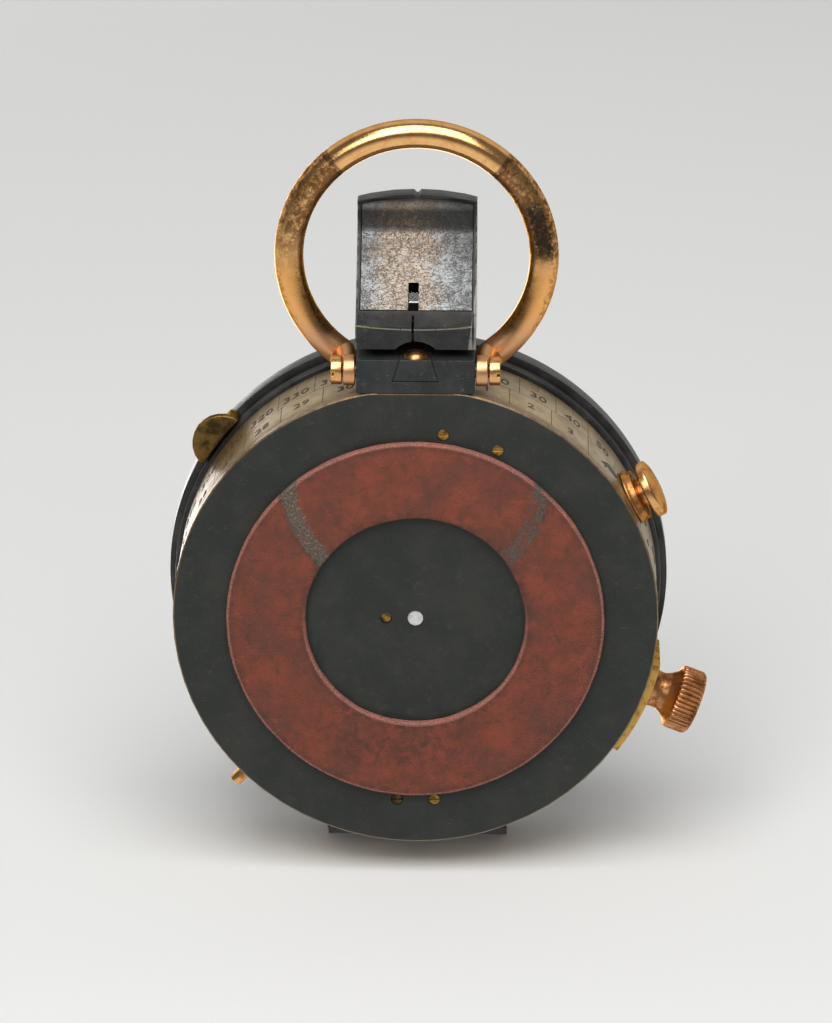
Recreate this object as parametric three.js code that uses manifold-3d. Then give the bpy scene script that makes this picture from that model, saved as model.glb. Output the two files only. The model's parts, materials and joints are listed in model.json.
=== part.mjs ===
// A prismatic marching compass that lies on its leather ring, dial and lid upwards.
// The sight line runs along Y: the prism is at -Y and the lid's hinge at +Y. Millimetres, +Z up.
// Every piece is drawn round the compass axis, and the whole is moved at the end, so that its
// origin lies in the middle of the bottom of its bounding box.

import * as THREE from "three";
import { mergeVertices } from "three/addons/utils/BufferGeometryUtils.js";
import Module from "manifold-3d";

// Circles: how many sides they are drawn with
const caseSideCount = 64;
const boltSideCount = 24;
const pinSideCount = 14;
const lineSideCount = 6;

// Clearances and cuts
const runningGap = 0.08;
const seatGap = 0.05;
const freeGap = 0.3;
const cutOverrun = 1;

// The case: base plate, wall and scale band
const caseRadius = 27;
const leatherThickness = 1;
const leatherMargin = 6;
const leatherWidth = 8.8;
const baseThickness = 1.6;
const rimThickness = 1.3;
const rimChamfer = 0.2;
const caseHeight = 12.3;
const wallThickness = 1.3;
const bandThickness = 0.4;
const bandSetBack = 0.1;
const bandTopLedge = 0.3;
const peepHoleRadius = 0.55;
const peepHoleAngle = -36.5;
const peepHoleDrop = 1.4;
const axisHeight = 7.2;

// The bezel that turns on the wall, with its glass
const bezelLift = 0.2;
const bezelHeight = 1.4;
const bezelOverhang = 0.4;
const bezelChamfer = 0.2;
const bezelSkirtGap = 1.35;
const bezelSkirtThickness = 0.8;
const bezelSkirtLift = 1;
const bezelGlassRim = 2.5;
const bezelGlassThickness = 0.8;
const bezelGlassSeat = 0.4;
const glassRingWidth = 0.9;
const glassRingThickness = 0.16;

// The lid with its window and thumb tab
const lidLift = 0.3;
const lidHeight = 2.8;
const lidOverhang = 1.1;
const lidChamfer = 0.45;
const lidWindowRim = 7.1;
const lidRimWidth = 1.5;
const lidTopThickness = 1.2;
const lidGlassRim = 4.6;
const lidGlassThickness = 1.05;
const lidRingRim = 5.9;
const hairlineRadius = 0.09;
const tabAngle = -143.3;
const tabRadius = 3.37;
const tabThickness = 0.9;
const tabReach = 0.3;
const tabDrop = 2.8;
const tabPostDepth = 1;

// The lid's hinge
const lidAxisReach = 2.6;
const lidAxisDrop = 1;
const lidBarrelRadius = 1.2;
const lidPinRadius = 0.5;
const lidBarrelHalf = 10.2;
const lidKnuckleHalf = 6;
const lidBlockDepth = 1.6;
const lidBlockDrop = 4.5;
const lidTongueHalf = 1.9;
const lidTongueWall = 0.2;
const lidBlockTopDrop = 1.9;
const lidStrapThickness = 1.6;
const lidStrapReach = 0.8;

// The prism's hinge block and the focusing slide in it
const blockHalfWidth = 6.5;
const blockSink = 0.5;
const blockDepth = 3.85;
const blockTopDrop = 0.3;
const rebateDrop = 2.8;
const rebateDepth = 1.4;
const slideMouthHalf = 1.75;
const slideRootHalf = 2.5;
const slideDepth = 2.45;
const slideGap = 0.06;
const studRadius = 1.3;
const studHeight = 2.3;
const studRise = 0.75;
const prismAxisInset = 0.55;
const prismAxisRise = 2.5;
const prismBarrelRadius = 1.3;
const prismPinRadius = 0.6;
const slideKnuckleHalf = 2.3;
const slideNeckReach = 1.2;
const lugInner = 2.5;
const lugOuter = 6.3;
const lugSetBack = 0.1;

// The prism box, in its place outside the case
const boxHalfWidth = 6.6;
const boxGap = 1.1;
const boxLength = 14.9;
const boxHeight = 11.2;
const boxTopDrop = 0.3;
const boxWall = 0.8;
const endWall = 0.45;
const cheekThickness = 0.4;
const lipLength = 2.6;
const shelfLength = 0.7;
const shelfRise = 1.8;
const slopeRun = 6.6;
const bendRun = 1.1;
const endFaceHeight = 2.2;
const boxEndRadius = 26.5;
const notchHalf = 0.5;
const notchDepth = 0.4;
const archRadius = 3.2;
const archDepth = 0.95;
const archHeight = 3.4;
const slitWidth = 0.24;
const slotHalf = 0.56;
const slotLength = 3.1;
const slotOffset = 0.3;
const coverInset = 0.25;
const coverThickness = 0.5;
const coverSideGap = 0.06;
const prismLeg = 7.5;
const prismSetBack = 0.75;
const eyeHoleRadius = 1.5;
const eyeHoleDrop = 5.1;
const eyeLensThickness = 0.7;
const fieldLensRadius = 3;
const fieldLensReach = 5.7;
const fieldLensThickness = 0.8;
const bendStepCount = 6;

// The bow ring and its two pivot screws
const ringRadius = 14;
const wireRadius = 1.6;
const ringSetBack = 0.6;
const ringPivotInset = 1.65;
const ringPivotRise = 1.5;
const ringCrank = 4.2;
const ringEyeRadius = 1.7;
const ringEyeWidth = 1.3;
const ringEyeGap = 0.15;
const ringHoleRadius = 0.8;
const ringScrewRadius = 0.75;
const ringHeadRadius = 1.6;
const ringHeadWidth = 1.2;
const ringScrewDepth = 2.4;
const ringEndOffset = 0.4;
const ringSectionCount = 12;
const ringStepCount = 44;
const lugHeadHalf = 1.15;
const lugHeadDrop = 0.9;
const slotWidth = 0.35;
const slotDepth = 0.4;

// The clamp screw, its plate and the shoe that it presses on the bezel
const clampAngle = 21.6;
const clampPlateAngle = 24.7;
const clampPlateHalfAngle = 11.7;
const clampPlateThickness = 1.1;
const clampPlateRise = 0.7;
const clampPlateHeight = 8.4;
const clampShankRadius = 1.1;
const clampNeckRadius = 2;
const clampNeckLength = 3.1;
const clampHeadRadius = 3.65;
const clampHeadLength = 2.55;
const clampHeadChamfer = 0.3;
const knurlCount = 30;
const knurlDepth = 0.2;
const shoeThickness = 0.85;
const shoeHalfWidth = 3.4;
const shoeHeight = 6.4;
const shoeDrop = 0.7;

// The brake button and what it pushes
const buttonAngle = -27.1;
const guideFlangeRadius = 3.15;
const guideFlangeThickness = 0.25;
const guideWaistRadius = 2.6;
const guideWaistLength = 0.5;
const guideRimRadius = 2.95;
const buttonStemRadius = 1.6;
const buttonNoseRadius = 0.5;
const buttonNoseLength = 1.7;
const buttonCapRadius = 3.25;
const buttonGap = 0.8;
const buttonRimThickness = 0.8;
const buttonDome = 0.7;
const buttonCapEdge = 0.15;
const brakeArmInset = 1.95;
const brakeArmThickness = 0.6;
const brakeArmHalfWidth = 1.2;
const brakeArmRise = 0.7;
const brakePadThickness = 0.35;
const brakePadHeight = 1.1;
const brakePivotRadius = 0.35;
const brakePivotRise = 0.85;
const brakeLeafThickness = 0.35;
const brakeLeafHalfWidth = 1.3;
const brakeEyeRadius = 4.4;
const brakeEarThickness = 0.45;

// The stop screw in the wall
const stopAngle = 134.7;
const stopRise = 0.8;
const stopHeadRadius = 0.72;
const stopShankRadius = 0.5;
const stopHeadOut = 2;
const stopShankDepth = 1.1;

// Pivot, card, magnets and the lifter under the card
const footRadius = 0.9;
const footFlangeRadius = 2.2;
const footFlangeThickness = 0.8;
const footPostRadius = 1.15;
const footPostDrop = 2.9;
const footSink = 0.15;
const pointRadius = 0.35;
const pointDrop = 0.5;
const pointTaper = 1;
const rivetOffset = 3.26;
const rivetRadius = 0.6;
const rivetHeadRadius = 0.9;
const rivetHeadThickness = 0.5;
const rivetSink = 0.25;
const cardRadiusGap = 1.7;
const cardHeight = 8.9;
const cardThickness = 0.35;
const hubRadius = 1.6;
const hubTopRadius = 1.15;
const hubDrop = 1.1;
const hubHeight = 2;
const jewelRadius = 0.75;
const jewelDepth = 1.05;
const magnetOffset = 4.8;
const magnetWidth = 1.2;
const magnetHeight = 0.85;
const magnetLength = 26;
const liftPinRadius = 0.33;
const liftPinReach = 0.95;
const leverPivotReach = 4.05;
const leverPivotDrop = 0.5;
const liftPinGap = 0.1;
const leverHalfWidth = 0.8;
const leverThickness = 0.7;
const leverRingOuter = 3.3;
const leverRingInner = 1.75;
const leverRingThickness = 0.5;
const leverPinRadius = 0.35;
const bracketCheek = 0.7;
const bracketHalfDepth = 0.75;

// The four small screws of the base plate
const baseScrewInset = 5.1;
const baseScrewAngles = [-82, -65.5, 95.4, 84.5];
const baseScrewHeadRadius = 0.65;
const baseScrewHeadDepth = 0.7;
const baseScrewShankRadius = 0.4;

// Heights and radii that follow from the sizes above
const baseFace = leatherThickness;
const floorTop = baseFace + baseThickness;
const wallTop = baseFace + caseHeight;
const leatherOuterRadius = caseRadius - leatherMargin;
const leatherInnerRadius = leatherOuterRadius - leatherWidth;
const bandOuter = caseRadius - bandSetBack;
const wallOuter = bandOuter - bandThickness - seatGap;
const wallInner = wallOuter - wallThickness;
const bandBottom = baseFace + rimThickness;
const bezelBottom = wallTop + bezelLift;
const bezelTop = bezelBottom + bezelHeight;
const bezelRadius = caseRadius + bezelOverhang;
const bezelSkirtRadius = wallInner - bezelSkirtGap;
const bezelGlassRadius = bezelRadius - bezelGlassRim;
const lidBottom = bezelTop + lidLift;
const lidTop = lidBottom + lidHeight;
const lidRadius = caseRadius + lidOverhang;
const lidWindowRadius = lidRadius - lidWindowRim;
const lidGlassRadius = lidRadius - lidGlassRim;
const lidRingInnerRadius = lidRadius - lidRingRim;
const lidAxisOutset = caseRadius + lidAxisReach;
const lidAxisHeight = lidBottom - lidAxisDrop;
const lidBlockTop = wallTop - lidBlockTopDrop;
const lidBlockBottom = wallTop - lidBlockDrop;
const blockInset = caseRadius - blockSink;
const blockFace = blockInset + blockDepth;
const blockTop = wallTop - blockTopDrop;
const rebateBottom = blockTop - rebateDrop;
const prismAxisOutset = blockFace - prismAxisInset;
const prismAxisHeight = blockTop + prismAxisRise;
const slideNeckInset = prismAxisOutset - slideNeckReach;
const lugInset = prismAxisOutset - lugSetBack;
const boxNear = blockFace + boxGap;
const boxFar = boxNear + boxLength;
const boxTop = blockTop - boxTopDrop;
const boxBottom = boxTop - boxHeight;
const lipOutset = boxNear + lipLength;
const shelfOutset = lipOutset + shelfLength;
const shelfHeight = boxBottom + shelfRise;
const slopeOutset = shelfOutset + slopeRun;
const slopeHeight = shelfHeight + slopeRun;
const bendOutset = slopeOutset + bendRun;
const bendHeight = slopeHeight + bendRun;
const endEdgeHeight = boxTop - endFaceHeight;
const eyeHoleHeight = boxTop - eyeHoleDrop;
const fieldLensOutset = boxNear + fieldLensReach;
const ringPivotOutset = blockFace - ringPivotInset;
const ringPivotHeight = baseFace + ringPivotRise;
const eyeFrom = blockHalfWidth + ringEyeGap;
const eyeTo = eyeFrom + ringEyeWidth;
const ringEndAngle = Math.asin((eyeTo + ringEndOffset) / ringRadius);
const ringCentreOutset = ringPivotOutset + ringSetBack + ringRadius * Math.cos(ringEndAngle);
const clampPlateBottom = bandBottom + clampPlateRise;
const clampPlateTop = clampPlateBottom + clampPlateHeight;
const shoeTop = wallTop - shoeDrop;
const shoeBottom = shoeTop - shoeHeight;
const shankHoleRadius = clampShankRadius + runningGap;
const stemHoleRadius = buttonStemRadius + runningGap;
const stopHeight = bandBottom + stopRise;
const peepHoleHeight = axisHeight - peepHoleDrop;
const brakeLeafTop = floorTop + seatGap + brakeLeafThickness;
const brakeArmOutset = wallInner - brakeArmInset;
const brakeArmTop = cardHeight + brakeArmRise;
const bezelSkirtBottom = brakeArmTop + bezelSkirtLift;
const brakePivotHeight = floorTop + brakePivotRise;
const baseScrewRing = caseRadius - baseScrewInset;
const cardRadius = brakeArmOutset - cardRadiusGap;
const hubBottom = cardHeight - hubDrop;
const pointTop = cardHeight - pointDrop;
const footPostTop = cardHeight - footPostDrop;
const liftPinOutset = caseRadius + liftPinReach;
const leverPivotOutset = liftPinOutset - leverPivotReach;
const leverPivotHeight = hubBottom - leverPivotDrop;
const leverUnder = leverPivotHeight - leverThickness / 2;
const leverOver = leverPivotHeight + leverThickness / 2;
const leverRingTop = hubBottom - 2 * seatGap;
const leverRingUnder = leverRingTop - leverRingThickness;
const liftPinBottom = leverOver + liftPinGap;
const slotUnder = leverPivotHeight - leverThickness - freeGap;
const lidTongueBottom = slotUnder - lidTongueWall;

const wasm = await Module();
wasm.setup();

// The solid that a closed geometry bounds, with its faces turned outwards.
function solidOf(geometry) {
  const bare = geometry.index ? geometry.toNonIndexed() : geometry.clone();
  bare.deleteAttribute("normal");
  bare.deleteAttribute("uv");
  const merged = mergeVertices(bare, 1e-5);
  const corners = Uint32Array.from(merged.index.array);
  const build = () =>
    new wasm.Manifold(
      new wasm.Mesh({ numProp: 3, vertProperties: merged.attributes.position.array, triVerts: corners }),
    );
  const first = build();
  if (first.volume() >= 0) return first;
  for (let i = 0; i < corners.length; i += 3) {
    [corners[i + 1], corners[i + 2]] = [corners[i + 2], corners[i + 1]];
  }
  return build();
}

// A drawable geometry with the faces of a solid.
function geometryOf(solid) {
  const mesh = solid.getMesh();
  const geometry = new THREE.BufferGeometry();
  geometry.setAttribute("position", new THREE.BufferAttribute(mesh.vertProperties, 3));
  geometry.setIndex(new THREE.BufferAttribute(mesh.triVerts, 1));
  const flat = geometry.toNonIndexed();
  flat.computeVertexNormals();
  return flat;
}

// A closed outline of (radius, height) points turned about Z.
function turned(outline, sides = caseSideCount) {
  const onAxis = outline.filter(([radius]) => radius === 0).length > 0;
  const points = outline.map(([radius, height]) => new THREE.Vector2(radius, height));
  if (!onAxis) points.push(points[0].clone());
  return solidOf(new THREE.LatheGeometry(points, sides).rotateX(Math.PI / 2));
}

// A disc or bar of one radius, standing on Z between two heights.
function round(radius, from, to, sides = boltSideCount) {
  return turned([[0, from], [radius, from], [radius, to], [0, to]], sides);
}

// A ring between two radii and two heights.
function ring(inner, outer, from, to, sides = caseSideCount) {
  return turned([[inner, from], [outer, from], [outer, to], [inner, to]], sides);
}

// A block between two corners.
function block(low, high) {
  const size = high.map((value, i) => value - low[i]);
  const middle = high.map((value, i) => (value + low[i]) / 2);
  return solidOf(new THREE.BoxGeometry(...size).translate(...middle));
}

// A side outline of (y, z) points, carried along X between two places.
function slab(outline, from, to) {
  const shape = new THREE.Shape(outline.map(([y, z]) => new THREE.Vector2(y, z)));
  const geometry = new THREE.ExtrudeGeometry(shape, { depth: to - from, bevelEnabled: false });
  const turn = new THREE.Matrix4().set(0, 0, 1, from, 1, 0, 0, 0, 0, 1, 0, 0, 0, 0, 0, 1);
  return solidOf(geometry.applyMatrix4(turn));
}

// A plan outline of (x, y) points, carried up between two heights.
function prismOf(outline, from, to) {
  const shape = new THREE.Shape(outline.map(([x, y]) => new THREE.Vector2(x, y)));
  const geometry = new THREE.ExtrudeGeometry(shape, { depth: to - from, bevelEnabled: false });
  return solidOf(geometry.translate(0, 0, from));
}

// A round bar along X through (y, z).
function barAcross(radius, from, to, y, z, sides = boltSideCount) {
  const bar = new THREE.CylinderGeometry(radius, radius, to - from, sides).rotateZ(Math.PI / 2);
  return solidOf(bar.translate((from + to) / 2, y, z));
}

const radians = THREE.MathUtils.degToRad;

// The place of a radial piece: its own Z points outwards from the compass axis.
function outwards(angle, height) {
  const out = new THREE.Vector3(Math.cos(radians(angle)), Math.sin(radians(angle)), 0);
  const across = new THREE.Vector3(-out.y, out.x, 0);
  const place = new THREE.Matrix4().makeBasis(across, new THREE.Vector3(0, 0, 1), out);
  return place.setPosition(0, 0, height);
}

// A copy of a solid in another place.
function placed(solid, matrix) {
  return solid.transform(matrix.elements);
}

function joined(...solids) {
  return solids.reduce((sum, solid) => sum.add(solid));
}

function cutBy(solid, ...cutters) {
  return cutters.reduce((rest, cutter) => rest.subtract(cutter), solid);
}

// Finishes
function finish(color, roughness, metalness, opacity = 1) {
  return new THREE.MeshStandardMaterial({ color, roughness, metalness, opacity, transparent: opacity < 1 });
}
const bronzed = finish(0x363936, 0.5, 0.3);
const silvered = finish(0xb9aa86, 0.5, 0.3);
const leather = finish(0x84503f, 0.85, 0);
const gilt = finish(0xd99a45, 0.25, 1);
const agedBrass = finish(0xa9813f, 0.4, 0.9);
const whiteMetal = finish(0xe0dfda, 0.35, 0.8);
const wornSteel = finish(0x9b9790, 0.45, 0.7);
const darkSteel = finish(0x4a4a4c, 0.35, 0.9);
const clearGlass = finish(0xdfe8e6, 0.05, 0, 0.3);
const cardWhite = finish(0xe6dfcb, 0.7, 0);

const compass = new THREE.Group();

function piece(name, solid, material, parent = compass) {
  const mesh = new THREE.Mesh(geometryOf(solid), material.clone());
  mesh.name = name;
  parent.add(mesh);
  return mesh;
}

// A group whose own Z points outwards from the compass axis.
function radialGroup(angle, height) {
  const group = new THREE.Group();
  outwards(angle, height).decompose(group.position, group.quaternion, group.scale);
  compass.add(group);
  return group;
}

// Holes that several pieces of the case share
function radialHole(angle, height, radius, from = wallInner, to = caseRadius) {
  const hole = round(radius, from - cutOverrun, to + cutOverrun, boltSideCount);
  return placed(hole, outwards(angle, height));
}
const stemHole = radialHole(buttonAngle, axisHeight, stemHoleRadius);
const clampHole = radialHole(clampAngle, axisHeight, shankHoleRadius);
const stopHole = radialHole(stopAngle, stopHeight, stopShankRadius + seatGap, wallOuter - stopShankDepth);
const peepHole = radialHole(peepHoleAngle, peepHoleHeight, peepHoleRadius);
const blockBay = block(
  [-blockHalfWidth - seatGap, -caseRadius - cutOverrun, 0],
  [blockHalfWidth + seatGap, -blockInset + seatGap, wallTop + cutOverrun],
);
const leverSlotHalf = leverHalfWidth + freeGap;
const leverWindow = block(
  [-leverSlotHalf, wallInner - cutOverrun, slotUnder],
  [leverSlotHalf, liftPinOutset + liftPinRadius + freeGap, leverPivotHeight + leverThickness + freeGap],
);

// Case body: the base plate and the wall are one turning
function screwPlace(angle) {
  return [baseScrewRing * Math.cos(radians(angle)), baseScrewRing * Math.sin(radians(angle))];
}
function baseScrewHole(angle) {
  const [x, y] = screwPlace(angle);
  const head = round(baseScrewHeadRadius + seatGap, 0, baseFace + baseScrewHeadDepth + seatGap, pinSideCount);
  const shank = round(baseScrewShankRadius + seatGap, 0, floorTop + cutOverrun, pinSideCount);
  return head.add(shank).translate(x, y, 0);
}
const caseTurning = turned([
  [0, baseFace],
  [caseRadius - rimChamfer, baseFace],
  [caseRadius, baseFace + rimChamfer],
  [caseRadius, bandBottom],
  [wallOuter, bandBottom],
  [wallOuter, wallTop],
  [wallInner, wallTop],
  [wallInner, floorTop],
  [0, floorTop],
]);
const caseBody = cutBy(
  caseTurning,
  blockBay,
  leverWindow,
  stemHole,
  clampHole,
  stopHole,
  peepHole,
  round(footRadius + seatGap, 0, floorTop + cutOverrun, pinSideCount),
  round(rivetRadius + seatGap, 0, floorTop + cutOverrun, pinSideCount).translate(-rivetOffset, 0, 0),
  ...baseScrewAngles.map(baseScrewHole),
);
piece("case_body", caseBody, bronzed);

// Scale band round the wall, cut away behind both hinge blocks
const lidSeat = joined(
  block(
    [-lidBarrelHalf - seatGap, 0, lidBlockBottom - seatGap],
    [lidBarrelHalf + seatGap, caseRadius + cutOverrun, wallTop + cutOverrun],
  ),
  block(
    [-lidTongueHalf - seatGap, 0, lidTongueBottom - seatGap],
    [lidTongueHalf + seatGap, caseRadius + cutOverrun, wallTop + cutOverrun],
  ),
);
const scaleBand = cutBy(
  ring(bandOuter - bandThickness, bandOuter, bandBottom + seatGap, wallTop - bandTopLedge),
  blockBay,
  lidSeat,
  stemHole,
  clampHole,
  stopHole,
  peepHole,
);
piece("scale_band", scaleBand, silvered);

piece("base_ring", ring(leatherInnerRadius, leatherOuterRadius, 0, leatherThickness), leather);

// Countersunk screws of the base plate
baseScrewAngles.forEach((angle, i) => {
  const head = round(baseScrewHeadRadius, baseFace + seatGap, baseFace + baseScrewHeadDepth, pinSideCount);
  const shank = round(baseScrewShankRadius, baseFace + seatGap, floorTop, pinSideCount);
  const slot = block(
    [-baseScrewHeadRadius, -slotWidth / 4, baseFace],
    [baseScrewHeadRadius, slotWidth / 4, baseFace + slotDepth / 2],
  );
  const screw = piece("base_screw_" + (i + 1), cutBy(head.add(shank), slot), agedBrass);
  screw.position.set(...screwPlace(angle), 0);
});

// Pivot foot in the base plate, with the steel point that carries the card
const footBottom = baseFace + footSink;
const footFlangeBottom = brakeLeafTop + seatGap;
const foot = turned([
  [0, footBottom],
  [footRadius, footBottom],
  [footRadius, footFlangeBottom],
  [footFlangeRadius, footFlangeBottom],
  [footFlangeRadius, footFlangeBottom + footFlangeThickness],
  [footPostRadius, footFlangeBottom + footFlangeThickness],
  [footPostRadius, footPostTop],
  [0, footPostTop],
], boltSideCount);
piece("pivot_foot", foot, whiteMetal);
const point = turned([
  [0, footPostTop],
  [pointRadius, footPostTop],
  [pointRadius, pointTop - pointTaper],
  [0, pointTop],
], pinSideCount);
piece("pivot_point", point, darkSteel);

// Rivet that keeps the brake leaf from turning
const rivet = joined(
  round(rivetRadius, baseFace + rivetSink, brakeLeafTop + seatGap, pinSideCount),
  round(rivetHeadRadius, brakeLeafTop + seatGap, brakeLeafTop + seatGap + rivetHeadThickness, pinSideCount),
);
piece("leaf_rivet", rivet, agedBrass).position.set(-rivetOffset, 0, 0);

// Brake leaf: a spring strip on the floor, with two ears for the brake arm
const buttonLine = new THREE.Matrix4().makeRotationZ(radians(buttonAngle));
const leafBottom = floorTop + seatGap;
const leafEnd = brakeArmOutset + brakeArmThickness;
const pivotOut = brakeArmOutset;
const earInner = brakeArmHalfWidth + runningGap;
const earOuter = earInner + brakeEarThickness;
const leafStrip = joined(
  round(brakeEyeRadius, leafBottom, brakeLeafTop, boltSideCount),
  block([0, -brakeLeafHalfWidth, leafBottom], [leafEnd, brakeLeafHalfWidth, brakeLeafTop]),
  ...[[-earOuter, -earInner], [earInner, earOuter]].map(([from, to]) =>
    block(
      [leafEnd - 2 * brakeArmThickness, from, leafBottom],
      [leafEnd, to, brakePivotHeight + brakeArmThickness],
    ),
  ),
);
const earPinHole = solidOf(
  new THREE.CylinderGeometry(brakePivotRadius, brakePivotRadius, 4 * brakeArmHalfWidth, pinSideCount)
    .translate(pivotOut, 0, brakePivotHeight),
);
function leafHole(radius) {
  return round(radius + seatGap, leafBottom - cutOverrun, brakeLeafTop + cutOverrun, pinSideCount);
}
const leafLocal = cutBy(
  leafStrip,
  leafHole(footRadius),
  earPinHole,
);
const leaf = cutBy(placed(leafLocal, buttonLine), leafHole(rivetRadius).translate(-rivetOffset, 0, 0));
piece("brake_leaf", leaf, agedBrass);

// Brake arm: it swings in the ears and carries the pad that stops the card
const armSolid = joined(
  block(
    [pivotOut - brakeArmThickness / 2, -brakeArmHalfWidth, brakePivotHeight],
    [pivotOut + brakeArmThickness / 2, brakeArmHalfWidth, brakeArmTop],
  ),
  solidOf(
    new THREE.CylinderGeometry(
      brakePivotRadius - seatGap, brakePivotRadius - seatGap, 2 * earOuter, pinSideCount,
    ).translate(pivotOut, 0, brakePivotHeight),
  ),
  block(
    [pivotOut - brakeArmThickness / 2 - brakePadThickness, -brakeArmHalfWidth, brakeArmTop - brakePadHeight],
    [pivotOut - brakeArmThickness / 2, brakeArmHalfWidth, brakeArmTop],
  ),
);
piece("brake_arm", placed(armSolid, buttonLine), agedBrass);

// Brake button: a fixed guide like a spool, and the domed button that slides in it
const buttonSide = radialGroup(buttonAngle, axisHeight);
const guideBase = bandOuter + seatGap;
const waistStart = guideBase + guideFlangeThickness;
const guideTop = waistStart + guideWaistLength + guideFlangeThickness;
const guide = turned([
  [stemHoleRadius, guideBase],
  [guideFlangeRadius, guideBase],
  [guideFlangeRadius, waistStart],
  [guideWaistRadius, waistStart + guideWaistLength / 3],
  [guideWaistRadius, waistStart + (2 * guideWaistLength) / 3],
  [guideRimRadius, waistStart + guideWaistLength],
  [guideRimRadius, guideTop],
  [stemHoleRadius, guideTop],
], boltSideCount);
piece("button_guide", guide, gilt, buttonSide);
const stemInner = brakeArmOutset + brakeArmThickness / 2 + freeGap;
const buttonRimOutset = guideTop + buttonGap;
const rimOuter = buttonRimOutset + buttonRimThickness;
const domeShares = [0.25, 0.5, 0.75, 0.92];
const domePoints = domeShares.map((share) => [
  buttonCapRadius * Math.cos((share * Math.PI) / 2),
  rimOuter + buttonDome * Math.sin((share * Math.PI) / 2),
]);
const button = turned([
  [0, stemInner],
  [buttonNoseRadius, stemInner],
  [buttonNoseRadius, stemInner + buttonNoseLength],
  [buttonStemRadius, stemInner + buttonNoseLength],
  [buttonStemRadius, buttonRimOutset],
  [buttonCapRadius - buttonCapEdge, buttonRimOutset],
  [buttonCapRadius, buttonRimOutset + buttonCapEdge],
  [buttonCapRadius, rimOuter],
  ...domePoints,
  [0, rimOuter + buttonDome],
], boltSideCount);
piece("brake_button", button, gilt, buttonSide);

// Clamp screw with its plate on the wall and its shoe inside
function sector(solid, angle, halfWidth, bottom, top) {
  const wedge = block([0, -halfWidth, bottom], [caseRadius + caseRadius, halfWidth, top]);
  return solid.intersect(placed(wedge, new THREE.Matrix4().makeRotationZ(radians(angle))));
}
const plateInner = bandOuter + seatGap;
const plateOuter = plateInner + clampPlateThickness;
const plateHalfWidth = plateOuter * Math.sin(radians(clampPlateHalfAngle));
const clampPlate = sector(
  ring(plateInner, plateOuter, clampPlateBottom, clampPlateTop),
  clampPlateAngle, plateHalfWidth, clampPlateBottom, clampPlateTop,
);
const plateHole = radialHole(clampAngle, axisHeight, shankHoleRadius, plateInner, plateOuter);
piece("clamp_plate", cutBy(clampPlate, plateHole), agedBrass);
const shoeOuter = wallInner - seatGap;
const shoeInner = shoeOuter - shoeThickness;
const shoe = sector(
  ring(shoeInner, shoeOuter, shoeBottom, shoeTop),
  clampAngle, shoeHalfWidth, shoeBottom, shoeTop,
);
piece("clamp_shoe", shoe, agedBrass);

const clampSide = radialGroup(clampAngle, axisHeight);
const neckBase = plateOuter + seatGap;
const headBase = neckBase + clampNeckLength;
const headEnd = headBase + clampHeadLength;
function knurledOutline() {
  const points = [];
  for (let i = 0; i < 2 * knurlCount; i += 1) {
    const radius = i % 2 ? clampHeadRadius : clampHeadRadius - knurlDepth;
    const angle = (i * Math.PI) / knurlCount;
    points.push([radius * Math.cos(angle), radius * Math.sin(angle)]);
  }
  return points;
}
const headEnvelope = turned([
  [0, headBase - clampHeadChamfer],
  [clampHeadRadius - clampHeadChamfer, headBase - clampHeadChamfer],
  [clampHeadRadius, headBase + clampHeadChamfer],
  [clampHeadRadius, headEnd - clampHeadChamfer],
  [clampHeadRadius - clampHeadChamfer, headEnd],
  [0, headEnd],
], 2 * knurlCount);
const neckShares = [[1.14, 0], [1.03, 0.2], [1.03, 0.4], [1.22, 0.65], [1.62, 1]];
const neck = turned([
  [0, shoeOuter + seatGap],
  [clampShankRadius, shoeOuter + seatGap],
  [clampShankRadius, neckBase],
  ...neckShares.map(([wide, along]) => [clampNeckRadius * wide, neckBase + clampNeckLength * along]),
  [0, headBase],
], boltSideCount);
const head = prismOf(knurledOutline(), headBase - clampHeadChamfer, headEnd).intersect(headEnvelope);
piece("clamp_screw", joined(neck, head), gilt, clampSide);

// Stop screw in the wall, slotted across its end
const stopSide = radialGroup(stopAngle, stopHeight);
const stopBase = bandOuter + seatGap;
const stopEnd = bandOuter + stopHeadOut;
const stopScrew = cutBy(
  joined(
    round(stopShankRadius, wallOuter - stopShankDepth, stopBase + seatGap, pinSideCount),
    round(stopHeadRadius, stopBase, stopEnd, pinSideCount),
  ),
  block(
    [-stopHeadRadius - seatGap, -slotWidth / 2, stopEnd - slotDepth],
    [stopHeadRadius + seatGap, slotWidth / 2, stopEnd + cutOverrun],
  ),
);
piece("stop_screw", stopScrew, agedBrass, stopSide);

// Hinge block of the prism, with its dovetail channel and the threads of the ring's pivots
function dovetail(extra, from, to) {
  const mouth = slideMouthHalf + extra;
  const root = slideRootHalf + extra;
  const rootLine = -blockFace + slideDepth + extra;
  const past = extra ? cutOverrun : 0;
  const outline = [[-mouth, -blockFace], [mouth, -blockFace], [root, rootLine], [-root, rootLine]];
  if (past) outline.splice(1, 0, [-mouth, -blockFace - past], [mouth, -blockFace - past]);
  return prismOf(outline, from, to);
}
const pivotShankHole = barAcross(
  ringScrewRadius + seatGap,
  -blockHalfWidth - cutOverrun, blockHalfWidth + cutOverrun, -ringPivotOutset, ringPivotHeight, pinSideCount,
);
const hingeBlock = cutBy(
  block([-blockHalfWidth, -blockFace, baseFace], [blockHalfWidth, -blockInset, blockTop]),
  block(
    [-blockHalfWidth - cutOverrun, -blockFace - cutOverrun, rebateBottom],
    [blockHalfWidth + cutOverrun, -blockFace + rebateDepth, blockTop + cutOverrun],
  ),
  dovetail(slideGap, baseFace - cutOverrun, blockTop + cutOverrun),
  pivotShankHole,
);
piece("hinge_block", hingeBlock, bronzed);

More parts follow.
